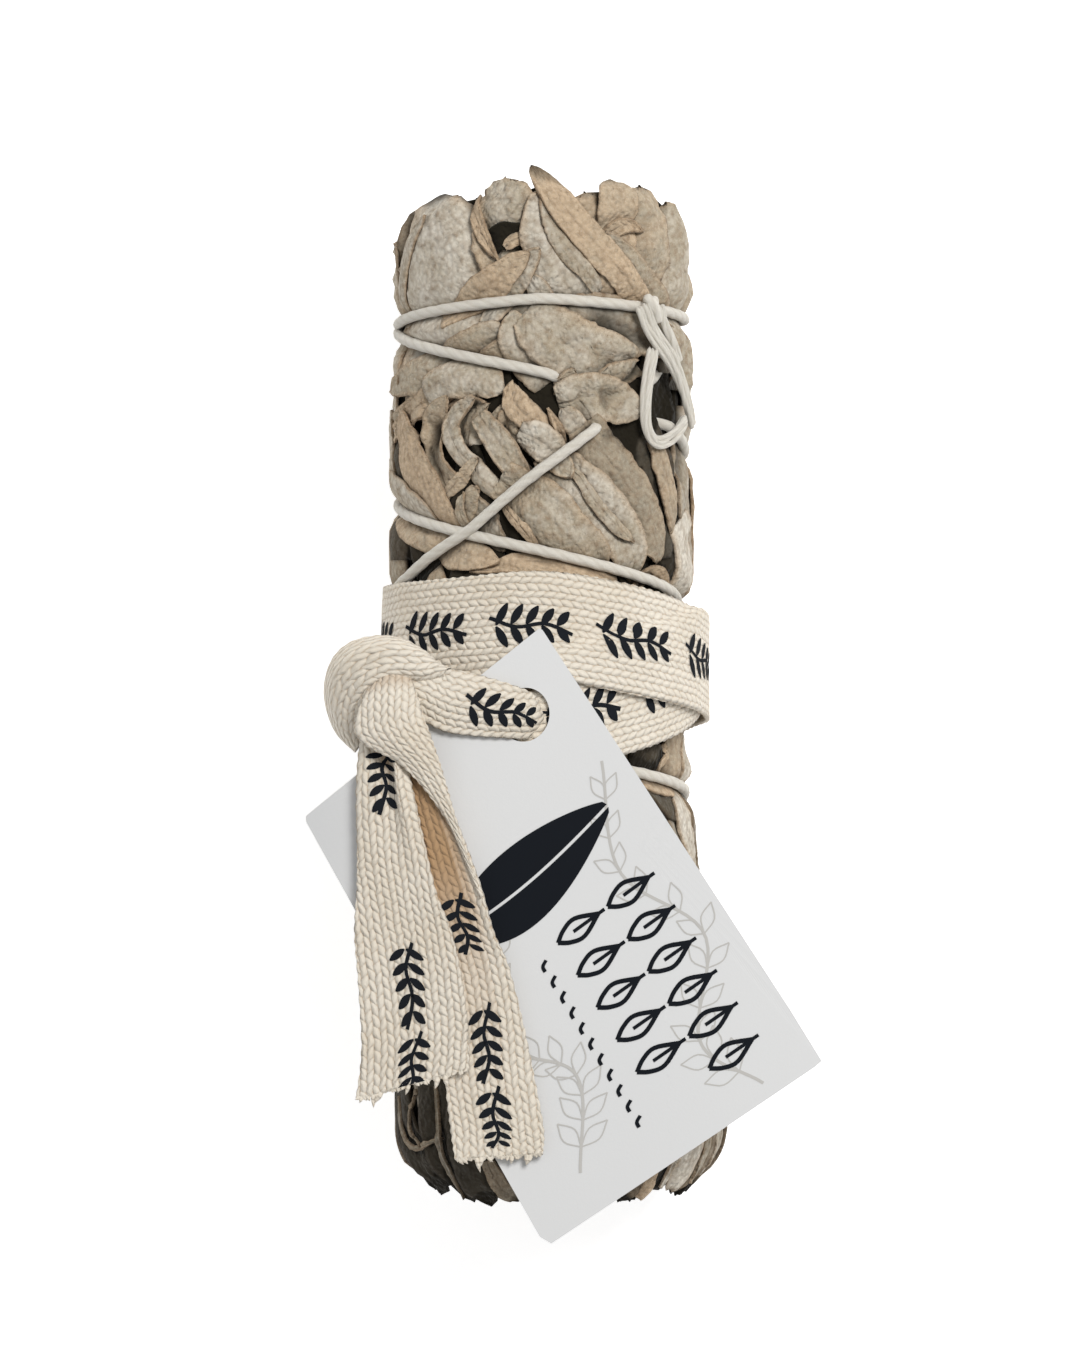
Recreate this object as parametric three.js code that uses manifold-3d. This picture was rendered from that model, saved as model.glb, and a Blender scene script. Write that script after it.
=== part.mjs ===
// A dried sage bunch that lies on its back: pressed leaves round woody stems, a criss-cross winding of
// twine, a wide cotton tape wound twice and knotted at the left, and a card tag threaded on the tape.
// Units are mm. +Y runs to the leaf tips, +Z is up, and the origin is on the surface that it lies on.
import * as THREE from 'three';
import { mergeVertices } from 'three/addons/utils/BufferGeometryUtils.js';
import Module from 'manifold-3d';

const wasm = await Module();
wasm.setup();

// Driving dimensions.
const topRadius = 21.3;
const buttRadius = 23.4;
const bandRadius = 22.9;
const restRadius = 23.2;
const axisHeight = 21.8;
const tapeWidth = 15;
const tapeThickness = 0.9;
const layerStep = 1.15;
const twineRadius = 1.0;
const coreDepth = 2.9;
const coreLow = -66.6;
const coreHigh = 58.7;
const bladeThickness = 1.0;
const cardThickness = 0.8;
const cardUnderside = 45.5;
const holeRadius = 3.7;
const gap = 0.3;

const rad = Math.PI / 180;
const lerp = THREE.MathUtils.lerp;

// Eases from 0 at a to 1 at b, also where a is the larger.
function smooth(a, b, v) {
  const t = THREE.MathUtils.clamp((v - a) / (b - a), 0, 1);
  return t * t * (3 - 2 * t);
}

// Seeded random numbers, so that the bunch is the same each time.
let seed = 4127;
function random(low = 0, high = 1) {
  seed = (seed * 16807) % 2147483647;
  return low + (high - low) * (seed / 2147483647);
}

// The bunch's axis drifts right towards the cut end, where it is also wider.
const axisX = (y) => -0.5 + 2.9 * smooth(12, 64, -y);
const radiusAt = (y) => topRadius + (buttRadius - topRadius) * smooth(12, 64, -y);

// A place at an angle from the top (towards +X), a distance from the axis and a station along it. The
// underside is pressed flat, outer layers lowest.
function place(angle, r, y) {
  const z = axisHeight + r * Math.cos(angle);
  const floor = Math.max(0, restRadius - r);
  return new THREE.Vector3(axisX(y) + r * Math.sin(angle), y, Math.max(z, floor));
}

// One closed solid of a geometry.
function solidOf(geometry) {
  const bare = geometry.clone();
  bare.deleteAttribute('normal');
  bare.deleteAttribute('uv');
  const merged = mergeVertices(bare, 1e-4);
  return new wasm.Manifold(new wasm.Mesh({
    numProp: 3,
    vertProperties: new Float32Array(merged.attributes.position.array),
    triVerts: new Uint32Array(merged.index.array),
  }));
}

function meshOf(name, solid, material) {
  const { vertProperties, triVerts } = solid.getMesh();
  const geometry = new THREE.BufferGeometry();
  geometry.setAttribute('position', new THREE.BufferAttribute(vertProperties, 3));
  geometry.setIndex(new THREE.BufferAttribute(triVerts, 1));
  const flat = geometry.toNonIndexed();
  flat.computeVertexNormals();
  const mesh = new THREE.Mesh(flat, material);
  mesh.name = name;
  return mesh;
}

// The main body of a solid, without the loose scraps left by the cuts.
function largestBody(solid) {
  const bodies = solid.decompose();
  return bodies.reduce((best, body) => (body.volume() > best.volume() ? body : best));
}

// A thin sheet: a box of across by along panels whose points are moved by shape(s, t, side), with s from
// 0 to 1 along it, t from -1 to 1 across and side -1 or 1 through it. Both faces split alike.
function sheetSolid(across, along, shape) {
  const box = new THREE.BoxGeometry(2, 1, 2, across, along, 1);
  const back = box.groups[5];
  const index = box.index;
  for (let i = back.start; i < back.start + back.count; i += 6) {
    const [a, b, d] = [index.getX(i), index.getX(i + 1), index.getX(i + 2)];
    const c = index.getX(i + 4);
    [a, b, c, a, c, d].forEach((v, k) => index.setX(i + k, v));
  }
  const position = box.attributes.position;
  for (let i = 0; i < position.count; i += 1) {
    const p = shape(position.getY(i) + 0.5, position.getX(i), Math.sign(position.getZ(i)));
    position.setXYZ(i, p.x, p.y, p.z);
  }
  return solidOf(box);
}

// A value read off a list of [at, value] pairs.
function along(list, at) {
  for (let i = 1; i < list.length; i += 1) {
    if (at <= list[i][0]) {
      const [x0, y0] = list[i - 1];
      const [x1, y1] = list[i];
      return lerp(y0, y1, THREE.MathUtils.clamp((at - x0) / (x1 - x0), 0, 1));
    }
  }
  return list[list.length - 1][1];
}

// The twine's windings: [turned angle in degrees, station], down the bunch and steeply up again.
const twineDown = [[-150, 54.5], [-90, 52], [0, 54.8], [90, 52.8], [180, 54], [270, 51], [360, 44.5],
  [450, 34], [540, 30], [630, 26.5], [720, 19.5], [810, 12], [900, 6], [990, -2], [1080, -9],
  [1170, -14.5], [1260, -24], [1350, -34], [1440, -44], [1530, -56], [1620, -64], [1710, -66],
  [1800, -65.5], [1890, -66], [1950, -66]];
const crossing = [[-90, 26.3], [25, 37.4], [60, 42], [90, 52.5]];

const underTape = (y) => smooth(14, 9, Math.abs(y - 1.5));
const twineAt = (y) => radiusAt(y) - 0.9 - 1.5 * underTape(y);

// How near a place on the surface is to the closest winding.
function nearTwine(angle, y) {
  let best = 99;
  for (const list of [twineDown, crossing]) {
    for (let i = 1; i < list.length; i += 1) {
      const [a0, y0] = list[i - 1];
      const [a1, y1] = list[i];
      for (let turn = -2; turn <= 6; turn += 1) {
        const deg = angle / rad + 360 * turn;
        if (deg >= a0 - 8 && deg <= a1 + 8) {
          const line = lerp(y0, y1, (deg - a0) / (a1 - a0));
          const slope = (y1 - y0) / ((a1 - a0) * rad * topRadius);
          best = Math.min(best, Math.abs(y - line) / Math.hypot(1, slope));
        }
      }
    }
  }
  return best;
}

// The leaves' outer faces are held down under the twine and the tape.
function lid(angle, y) {
  const near = nearTwine(angle, y) / 4.8;
  return radiusAt(y) + 0.1 - 3.1 * Math.exp(-near * near) - 1.2 * underTape(y);
}

// A leaf on the bunch. line: [angle in degrees, station] from root to tip; width in mm. Its edges wave
// and curl up, and its root is sunk in the core.
function leafSolid({ line, width, lift = 0, wave = 0.25, curl = 0.8, rests = false, cells = [2, 6] }) {
  const curve = new THREE.CatmullRomCurve3(line.map(([deg, y]) => new THREE.Vector3(deg * rad, y, 0)));
  const phase = random(0, 6);
  const press = random(0, 0.7);
  return sheetSolid(cells[0], cells[1], (s, t, side) => {
    const centre = curve.getPoint(s);
    const ahead = curve.getTangent(Math.min(0.999, Math.max(0.001, s)));
    const r0 = radiusAt(centre.y);
    const flow = new THREE.Vector2(ahead.x * r0, ahead.y).normalize();
    const shape = Math.pow(Math.sin(Math.PI * lerp(0.16, 0.97, s)), 0.65) * (1 - 0.16 * s);
    const edge = 1 + 0.1 * Math.sin(19 * s + phase + t);
    const half = Math.max(0.5, (width / 2) * shape * edge);
    const angle = centre.x + (t * half * flow.y) / r0;
    const y = centre.y - t * half * flow.x;
    const bulge = r0 - 0.5 + lift + curl * (t * t - 0.5) + wave * Math.sin(9 * s + phase + 2.2 * t);
    let outer = Math.min(bulge, lid(angle, y) - press + Math.max(0, lift) * 0.5 * (1 - underTape(y)));
    outer = lerp(r0 - coreDepth - 0.5, outer, smooth(0, 0.2, s));
    const r = side > 0 ? outer : outer - bladeThickness;
    const p = place(angle, r, y);
    const under = side > 0 ? cardUnderside - gap : cardUnderside - gap - bladeThickness;
    p.z = y < 12 ? Math.min(p.z, under) : p.z;
    if (rests && s > 0.3 && s < 0.9 && Math.abs(t) < 0.8) {
      p.z = Math.min(p.z, side > 0 ? 0 : bladeThickness);
    }
    return p;
  });
}

// A leaf that stands up inside the crown or hangs out of the cut end.
function innerLeafSolid(angle, r, from, to, width, lean) {
  const radial = new THREE.Vector3(Math.sin(angle), 0, Math.cos(angle));
  const side = new THREE.Vector3(Math.cos(angle), 0, -Math.sin(angle));
  const phase = random(0, 6);
  return sheetSolid(2, 4, (s, t, face) => {
    const y = lerp(from, to, s);
    const half = Math.max(0.5, (width / 2) * Math.pow(Math.sin(Math.PI * lerp(0.25, 0.96, s)), 0.6));
    const out = r + lean * s + 0.9 * Math.sin(7 * s + phase + 1.5 * t) + 1.6 * t * t + face * 0.45;
    const p = new THREE.Vector3(axisX(y), y + 0.8 * Math.sin(3 * t + phase), axisHeight);
    p.addScaledVector(radial, out).addScaledVector(side, t * half);
    p.z = Math.max(0, p.z);
    return p;
  });
}

// The leaf mass's core, narrower at both ends.
function coreSolid() {
  const tube = new THREE.CylinderGeometry(1, 1, 1, 20, 7);
  const position = tube.attributes.position;
  for (let i = 0; i < position.count; i += 1) {
    const y = lerp(coreLow, coreHigh, position.getY(i) + 0.5);
    const reach = Math.hypot(position.getX(i), position.getZ(i));
    const angle = Math.atan2(position.getX(i), position.getZ(i));
    const ends = 1 - 0.22 * smooth(46, 59, y) - 0.3 * smooth(56, 67, -y);
    const r = (radiusAt(y) - coreDepth) * ends * reach;
    const p = new THREE.Vector3(axisX(y) + r * Math.sin(angle), y, axisHeight + r * Math.cos(angle));
    const dish = reach < 0.5 ? 1.5 * Math.sign(y) : 0;
    position.setXYZ(i, p.x, y + dish, Math.max(p.z, 2.2));
  }
  return solidOf(tube);
}

// Leaves that show in front, from the bunch's tips down: angle and station along each.
const frontLeaves = [
  { line: [[-55, 20], [-52, 40], [-46, 56], [-40, 70]], width: 15, lift: 0.6, wave: 0.2, curl: -0.9,
    cells: [3, 6] },
  { line: [[-14, 50], [-17, 60], [-15, 71], [-12, 74]], width: 9, lift: 1.2, wave: 0.9, cells: [3, 6] },
  { line: [[-3, 40], [-5, 55], [-4, 68], [-3, 75]], width: 5, lift: 1.3, wave: 0.4, curl: 1.2 },
  { line: [[27, 46], [20, 58], [10, 68], [2, 74]], width: 4.5, lift: 1.6, wave: 0.3, curl: -0.4,
    cells: [2, 7] },
  { line: [[24, 50], [22, 60], [20, 70], [18, 73]], width: 4.5, lift: 0.8, curl: 1.4 },
  { line: [[36, 50], [35, 58], [33, 68], [32, 73]], width: 5, lift: 1, curl: 1.5 },
  { line: [[48, 42], [50, 55], [52, 66], [50, 70]], width: 7, lift: 0.7, curl: 1 },
  { line: [[68, 40], [70, 52], [72, 62], [70, 67]], width: 8, lift: 0.4, curl: 1 },
  { line: [[-50, 34], [-34, 44], [-18, 54], [-10, 62]], width: 8, lift: 0.7, curl: 1.1 },
  { line: [[-6, 54], [6, 50], [22, 47], [36, 45]], width: 10, lift: 0.5, wave: 0.7, cells: [3, 6] },
  { line: [[30, 52], [34, 47], [44, 43], [56, 42]], width: 9, lift: 0.3 },
  { line: [[-18, 48], [-34, 44], [-52, 40], [-66, 37]], width: 6, lift: 0.5, curl: 1 },
  { line: [[-2, 42], [-18, 38], [-34, 36], [-50, 36]], width: 7, lift: 0.5, curl: 1 },
  { line: [[-30, 42], [-38, 34], [-30, 28], [-16, 26]], width: 6, lift: 0.9, wave: 0.4 },
  { line: [[-64, 40], [-56, 34], [-46, 28], [-38, 22]], width: 6, lift: 0.6, curl: 1.1 },
  { line: [[-76, 34], [-62, 26], [-52, 18], [-46, 12]], width: 11, lift: 0.3 },
  { line: [[-14, 40], [-6, 34], [0, 30], [6, 26]], width: 8, lift: 0.5, curl: 0.9 },
  { line: [[-22, 30], [-8, 25], [8, 18], [22, 13]], width: 11, lift: 0.4, wave: 0.6 },
  { line: [[-6, 36], [10, 30], [26, 22], [42, 14]], width: 8, lift: 0.5 },
  { line: [[14, 40], [24, 34], [36, 28], [52, 18]], width: 8, lift: 0.2, wave: 0.7 },
  { line: [[34, 38], [46, 32], [56, 24], [64, 16]], width: 9, lift: 0.3, wave: 0.6 },
  { line: [[64, -6], [74, -14], [80, -24], [84, -34]], width: 9, lift: 0.2 },
];

// The bunch of leaves: those above, rows of drawn ones all round, and upright ones at both ends.
function leafBunch() {
  const parts = [coreSolid()];
  for (const leaf of frontLeaves) {
    parts.push(leafSolid(leaf));
  }
  const rows = [[62, 30, 4], [38, 2, 3], [10, -24, 3], [-16, -46, 4], [-42, -73, 7]];
  rows.forEach(([high, low, count], row) => {
    for (let i = 0; i < count; i += 1) {
      const turn = row < 3 ? lerp(92, 272, (i + 0.5) / count) : (360 * (i + 0.5 * (row % 2))) / count;
      const start = turn + random(-8, 8);
      const lean = random(-16, 16);
      const up = row < 3;
      const ends = up ? [low, high] : [high, low];
      const line = [0, 0.33, 0.67, 1].map((s) => [start + lean * s, lerp(ends[0], ends[1], s)]);
      line[3][1] += up && row === 0 ? random(0, 7) : random(-2, 2);
      line[3][1] = Math.max(-74, line[3][1]);
      parts.push(leafSolid({
        line,
        width: random(18, 24),
        cells: [2, 5],
        lift: row === 0 || row === 4 ? 0.8 : random(0, 0.5),
        wave: random(0.2, 0.4),
        curl: random(0.4, 1.2),
      }));
    }
  });
  // The lowest leaf at each end lies on the surface.
  const lowest = [
    [[180, 26], [181, 38], [180, 52], [179, 68]],
    [[179, -24], [180, -40], [181, -54], [180, -72]],
  ];
  for (const line of lowest) {
    parts.push(leafSolid({ line, width: 15, rests: true, cells: [4, 5] }));
  }
  for (let i = 0; i < 8; i += 1) {
    const angle = 2.4 * i;
    const r = 3 + 12.5 * Math.sqrt(i / 8);
    parts.push(innerLeafSolid(angle, r, 56, random(66, 73), random(6, 9), random(0, 2)));
  }
  for (let i = 0; i < 9; i += 1) {
    const angle = 0.7 * i + 0.2;
    const r = i % 2 ? 16.5 : 13.8;
    parts.push(innerLeafSolid(angle, r, -62, random(-72, -74), random(6, 9), random(-1, 1)));
  }
  return wasm.Manifold.union(parts);
}

// A woody stem: square, a little bent, cut straight at the lower end.
function stemSolid(i, grow) {
  const angle = (i * 60 + 20) * rad;
  const off = i % 2 ? 9 : 5.5;
  const bar = new THREE.CylinderGeometry(1, 1, 1, 4, 5);
  const position = bar.attributes.position;
  for (let k = 0; k < position.count; k += 1) {
    const s = position.getY(k) + 0.5;
    const y = lerp(-75 - grow, 40 + grow, s);
    const thick = lerp(1.9, 0.9, s) + grow;
    const bend = off + 0.8 * Math.sin(5 * s + i);
    position.setXYZ(k, axisX(y) + bend * Math.sin(angle) + thick * position.getX(k), y,
      axisHeight + bend * Math.cos(angle) + thick * position.getZ(k));
  }
  return solidOf(bar);
}

// A round twine along a list of [angle, station], at the given height over its usual seat.
function twineSolid(list, height, grow, stepMm = 7.4) {
  const points = [];
  for (let i = 1; i < list.length; i += 1) {
    const [a0, y0] = list[i - 1];
    const [a1, y1] = list[i];
    const steps = Math.max(1, Math.round(Math.hypot((a1 - a0) * rad * topRadius, y1 - y0) / stepMm));
    for (let k = i === 1 ? 0 : 1; k <= steps; k += 1) {
      const y = lerp(y0, y1, k / steps);
      points.push(place(lerp(a0, a1, k / steps) * rad, twineAt(y) + height, y));
    }
  }
  return cordSolid(points, twineRadius + grow);
}

function cordSolid(points, r) {
  const section = new THREE.Shape();
  for (let k = 0; k < 6; k += 1) {
    const turn = (k * Math.PI) / 3;
    section[k ? 'lineTo' : 'moveTo'](r * Math.cos(turn), r * Math.sin(turn));
  }
  const curve = new THREE.CatmullRomCurve3(points, false, 'centripetal');
  return solidOf(new THREE.ExtrudeGeometry(section, {
    steps: points.length - 1, bevelEnabled: false, extrudePath: curve,
  }));
}

// The twine's knot near the right edge, and its loose end that hangs below it.
function twineEnd(grow) {
  const knot = new THREE.SphereGeometry(2 + grow, 10, 7);
  knot.applyMatrix4(new THREE.Matrix4().makeScale(1.1, 0.8, 0.8));
  const seat = place(62 * rad, topRadius + 0.1, 45);
  knot.translate(seat.x, seat.y, seat.z);
  const loose = [[58, 46], [63, 38], [70, 31], [76, 26.5]]
    .map(([deg, y]) => place(deg * rad, topRadius + 0.7, y));
  return solidOf(knot).add(cordSolid(loose, 0.8 + grow));
}

function twineAll(grow) {
  return wasm.Manifold.union([
    twineSolid(twineDown, 0, grow),
    twineSolid(crossing, 0.75, grow),
    twineEnd(grow),
  ]);
}

// The tape's two turns: [turned angle, station of its centre].
const tapeRoute = [[-8, -4.5], [31, -1.3], [90, 4.3], [180, 6], [270, 6.7], [360, 9.5], [450, 3], [540, -3],
  [610, -3], [668, -2]];

function tapeBand(grow) {
  const start = tapeRoute[0][0];
  const end = tapeRoute[tapeRoute.length - 1][0];
  const inner = bandRadius - layerStep - tapeThickness;
  return sheetSolid(4, 76, (s, t, side) => {
    const deg = lerp(start, end, s);
    const centre = along(tapeRoute, deg);
    const half = (tapeWidth / 2) * lerp(0.5, 1, smooth(-8, 31, deg)) * lerp(1, 0.7, smooth(640, 668, deg));
    const y = centre - t * (half + grow);
    const under = Math.abs(y - along(tapeRoute, deg - 360));
    const stacked = deg > 352 ? smooth(10.6, 9.2, under) : 0;
    const rise = smooth(31, -8, deg) * 1.0;
    const r = inner + layerStep * stacked + rise + tapeThickness / 2 + side * (tapeThickness / 2 + grow);
    return place(deg * rad, r, y);
  });
}

// A strip of tape along points in space: wide(s) is its half width, thick(s) its half thickness.
function stripSolid(points, across, wide, thick, cells, wobble = 0) {
  const curve = new THREE.CatmullRomCurve3(points.map((p) => new THREE.Vector3(...p)));
  const sides = new THREE.CatmullRomCurve3(across.map((p) => new THREE.Vector3(...p)));
  return sheetSolid(2, cells, (s, t, side) => {
    const p = curve.getPoint(s);
    const tangent = curve.getTangent(Math.min(0.999, Math.max(0.001, s)));
    const over = sides.getPoint(s);
    over.addScaledVector(tangent, -over.dot(tangent)).normalize();
    const up = new THREE.Vector3().crossVectors(over, tangent).normalize();
    const ripple = wobble * Math.sin(11 * s + 1.5 * t);
    return p.addScaledVector(over, t * wide(s)).addScaledVector(up, side * thick(s) + ripple);
  });
}

const cardTop = (x) => cardUnderside + cardThickness
  - 6 * Math.pow(Math.max(0, -11 - x) / 22, 2) - 1.4 * Math.pow(Math.max(0, x - 14) / 24, 2);

// The knot at the left shoulder, the folded strip that runs from it into the tag's hole, and two tails.
function tapeKnot(grow) {
  const parts = [];
  const lump = new THREE.SphereGeometry(1, 12, 8);
  lump.applyMatrix4(new THREE.Matrix4().makeScale(5.2 + grow, 5.4 + grow, 5.2 + grow));
  lump.translate(-21.4, 0.4, 38.2);
  parts.push(solidOf(lump));
  const on = (x, y, up = 0) => [x, y, cardTop(x) + gap + 0.6 + up];
  parts.push(stripSolid(
    [[-21, 1, 44], on(-17, -0.6, 0.6), on(-11, -1.8, 0.5), on(-5.4, -3.3, 0.4), [-2.6, -3.9, 46.2],
      [-1.6, -4.3, 43.7]],
    [[0.2, 1, 0], [0.3, 1, 0], [0.2, 1, 0], [0.2, 1, 0], [0.1, 1, 0], [0.1, 1, 0]],
    (s) => lerp(3.9, 3, smooth(0.6, 0.95, s)) + grow, () => 0.6 + grow, 9));
  parts.push(stripSolid(
    [[-18.5, 2.6, 45.4], [-23, 3.6, 46.6], [-27.4, 3.2, 45], [-30, 1, 41], [-29, -1, 36.6], [-24, -2, 33.5]],
    [[0.3, 1, 0], [0, 1, 0], [0, 1, 0], [0, 1, 0], [0, 1, 0], [0, 1, 0]],
    (s) => 4 + 0.8 * Math.sin(3.1 * s) + grow, () => 0.7 + grow, 9));
  parts.push(stripSolid(
    [[-25, 0, 43], [-27.8, -3.4, 44.6], [-26.2, -7.4, 45.2], on(-23.6, -11, 0.4), on(-21.4, -22, 0.1),
      on(-20, -35, 0), on(-19, -46, 0.1), on(-18.6, -58, 0)],
    [[1, 0.2, 0], [1, 0.1, 0], [1, 0, 0], [1, 0, 0], [1, 0.1, 0.1], [1, 0.1, 0.1], [1, 0.2, 0.1],
      [1, 0.2, 0.1]],
    (s) => lerp(3.2, 7.2, smooth(0.2, 0.75, s)) + grow, () => 0.5 + grow, 14));
  parts.push(stripSolid(
    [[-22.6, 1, 45.4], [-21, -4, 47.6], [-19.2, -8.6, 48.6], on(-16.6, -14, 1.9), on(-14.6, -22, 1.7),
      on(-12, -33, 1.6), on(-9.8, -46, 1), on(-7, -66.5, 0.6)],
    [[1, 0.2, 0], [1, 0.4, 0], [1, 0.3, -0.2], [1, 0.3, -0.4], [1, 0.3, 0.2], [1, 0.2, 0.1], [1, 0.2, 0.1],
      [1, 0.2, 0]],
    (s) => lerp(3.9, 3, smooth(0.1, 0.35, s)) + 3.6 * smooth(0.4, 0.95, s) + grow, () => 0.5 + grow, 16));
  return wasm.Manifold.union(parts);
}

const tapeAll = (grow) => tapeBand(grow).add(tapeKnot(grow));

// The tag: a card whose left corner bends down, with a hole near its upper corner.
function tagSolid() {
  const corners = [[-0.6, 8.8], [-33.8, -17.8], [0.1, -77.4], [38.8, -51.6]];
  const [top, left, low, right] = corners.map(([x, y]) => new THREE.Vector2(x, y));
  const cells = 12;
  const card = sheetSolid(cells, 2, (s, t, side) => {
    const u = (1 - t) / 2;
    const upper = top.clone().lerp(right, s);
    const lower = left.clone().lerp(low, s);
    const p = lower.lerp(upper, u);
    return new THREE.Vector3(p.x, p.y, cardTop(p.x) - (side > 0 ? 0 : cardThickness));
  });
  const punch = new THREE.CylinderGeometry(holeRadius, holeRadius, 6, 24);
  punch.rotateX(Math.PI / 2);
  punch.translate(-2.7, -3.4, cardUnderside);
  return card.subtract(solidOf(punch));
}

const materials = {
  leaves: new THREE.MeshStandardMaterial({ color: 0x9a937a, roughness: 0.95, metalness: 0 }),
  stems: new THREE.MeshStandardMaterial({ color: 0x7a5f44, roughness: 0.9, metalness: 0 }),
  twine: new THREE.MeshStandardMaterial({ color: 0xd6cfbf, roughness: 0.95, metalness: 0 }),
  tape: new THREE.MeshStandardMaterial({ color: 0xe4ddcb, roughness: 0.9, metalness: 0 }),
  card: new THREE.MeshStandardMaterial({ color: 0xdcdfe0, roughness: 0.7, metalness: 0 }),
};

// Everything is kept a little clear of what it touches.
const tag = tagSolid();
const fatTwine = twineAll(gap);
const fatTape = tapeAll(gap);
const stems = [0, 1, 2, 3, 4, 5];
let leaves = leafBunch().subtract(fatTwine).subtract(fatTape);
leaves = leaves.subtract(wasm.Manifold.union(stems.map((i) => stemSolid(i, gap))));
const twine = twineAll(0).subtract(fatTape);
const tape = tapeAll(0).subtract(tagSolid());

const group = new THREE.Group();
group.name = 'sage_bunch';
group.add(meshOf('sage_leaves', largestBody(leaves), materials.leaves));
stems.forEach((i) => {
  group.add(meshOf(`sage_stem_${i + 1}`, stemSolid(i, 0), materials.stems));
});
group.add(meshOf('cotton_twine', largestBody(twine), materials.twine));
group.add(meshOf('cotton_tape', largestBody(tape), materials.tape));
group.add(meshOf('paper_tag', largestBody(tag), materials.card));

export default group;
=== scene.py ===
import math
import random

import bmesh
import bpy
import numpy as np
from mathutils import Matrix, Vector, noise


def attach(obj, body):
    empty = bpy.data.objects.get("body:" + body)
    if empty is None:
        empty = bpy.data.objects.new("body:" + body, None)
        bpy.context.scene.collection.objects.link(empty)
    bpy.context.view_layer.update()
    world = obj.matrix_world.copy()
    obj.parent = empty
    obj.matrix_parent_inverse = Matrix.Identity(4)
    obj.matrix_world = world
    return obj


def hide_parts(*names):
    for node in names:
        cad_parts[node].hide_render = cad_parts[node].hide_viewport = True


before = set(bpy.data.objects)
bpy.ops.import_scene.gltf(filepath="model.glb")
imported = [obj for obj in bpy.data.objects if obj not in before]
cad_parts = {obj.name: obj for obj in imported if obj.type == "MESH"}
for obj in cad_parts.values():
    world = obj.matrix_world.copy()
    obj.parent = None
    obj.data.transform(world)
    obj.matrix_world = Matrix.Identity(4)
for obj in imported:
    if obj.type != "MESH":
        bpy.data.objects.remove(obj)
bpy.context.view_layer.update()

# Sizes of the bunch in mm; meshes are written in metres.
mm = 0.001
topRadius, buttRadius, bandRadius = 21.3, 23.4, 22.9
axisHeight = 21.8
cardUnder, cardThick = 45.5, 0.8
eye = (-0.7, 2.14, axisHeight + 900)


def smooth(a, b, v):
    t = np.clip((np.asarray(v, float) - a) / (b - a), 0, 1)
    return t * t * (3 - 2 * t)


def axisX(y):
    return -0.5 + 2.9 * smooth(12, 64, -np.asarray(y, float))


def radiusAt(y):
    return topRadius + (buttRadius - topRadius) * smooth(12, 64, -np.asarray(y, float))


def place(angle, r, y):
    # Points in mm at an angle in radians from the top, a distance from the axis and a station.
    angle, r, y = np.broadcast_arrays(angle, r, y)
    z = np.maximum(axisHeight + r * np.cos(angle), np.maximum(0.02, bandRadius - r))
    return np.stack([axisX(y) + r * np.sin(angle), y, z], axis=-1)


def seen(px, py):
    # The angle in degrees and station of the bunch's surface at a point of the camera's image.
    x0, y0, z = (px - 545) / 7, (690 - py) / 7, axisHeight
    for _ in range(4):
        k = (eye[2] - z) / (eye[2] - axisHeight)
        x, y = eye[0] + (x0 - eye[0]) * k, eye[1] + (y0 - eye[1]) * k
        r = float(radiusAt(y)) - 0.4
        angle = math.asin(max(-0.996, min(0.996, (x - float(axisX(y))) / r)))
        z = axisHeight + r * math.cos(angle)
    return math.degrees(angle), y


# Camera, floor and light.
stageLook = {"floor": 0.8, "glow": 0.72, "key": 9.6, "fill": 0.7, "world": 0.37, "keySize": 0.4}


def lookAt(o, target):
    o.rotation_euler = (Vector(target) - o.location).to_track_quat("-Z", "Y").to_euler()


def buildStage():
    scene = bpy.context.scene
    cam = bpy.data.objects.new("camera", bpy.data.cameras.new("camera"))
    cam.data.sensor_width, cam.data.lens = 36, 36 * 900 / (1350 / 7)
    cam.data.clip_start, cam.data.clip_end = 0.05, 10
    cam.location = [v * mm for v in eye]
    scene.collection.objects.link(cam)
    scene.camera = cam

    bm = bmesh.new()
    bmesh.ops.create_grid(bm, x_segments=1, y_segments=1, size=3)
    mesh = bpy.data.meshes.new("floor")
    bm.to_mesh(mesh)
    bm.free()
    floor = bpy.data.objects.new("floor", mesh)
    scene.collection.objects.link(floor)
    pale = plainMaterial("floorPale", (stageLook["floor"],) * 3, 0.9)
    shader = pale.node_tree.nodes["Principled BSDF"]
    shader.inputs["Emission Color"].default_value = (1, 1, 1, 1)
    shader.inputs["Emission Strength"].default_value = stageLook["glow"]
    floor.data.materials.append(pale)

    for name, place3, energy, size, tint in (
        ("keyLight", (0.35, 0.45, 1.0), stageLook["key"], stageLook["keySize"], (1, 0.985, 0.96)),
        ("fillLight", (-0.9, -0.2, 0.8), stageLook["fill"], 0.9, (0.95, 0.98, 1)),
    ):
        light = bpy.data.objects.new(name, bpy.data.lights.new(name, "AREA"))
        light.data.energy, light.data.size, light.data.color = energy, size, tint
        light.location = place3
        lookAt(light, (0, 0, 0.02))
        scene.collection.objects.link(light)

    world = bpy.data.worlds.new("studio")
    world.use_nodes = True
    world.node_tree.nodes["Background"].inputs["Color"].default_value = (1, 1, 1, 1)
    world.node_tree.nodes["Background"].inputs["Strength"].default_value = stageLook["world"]
    scene.world = world
    scene.view_settings.view_transform = "Standard"


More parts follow.
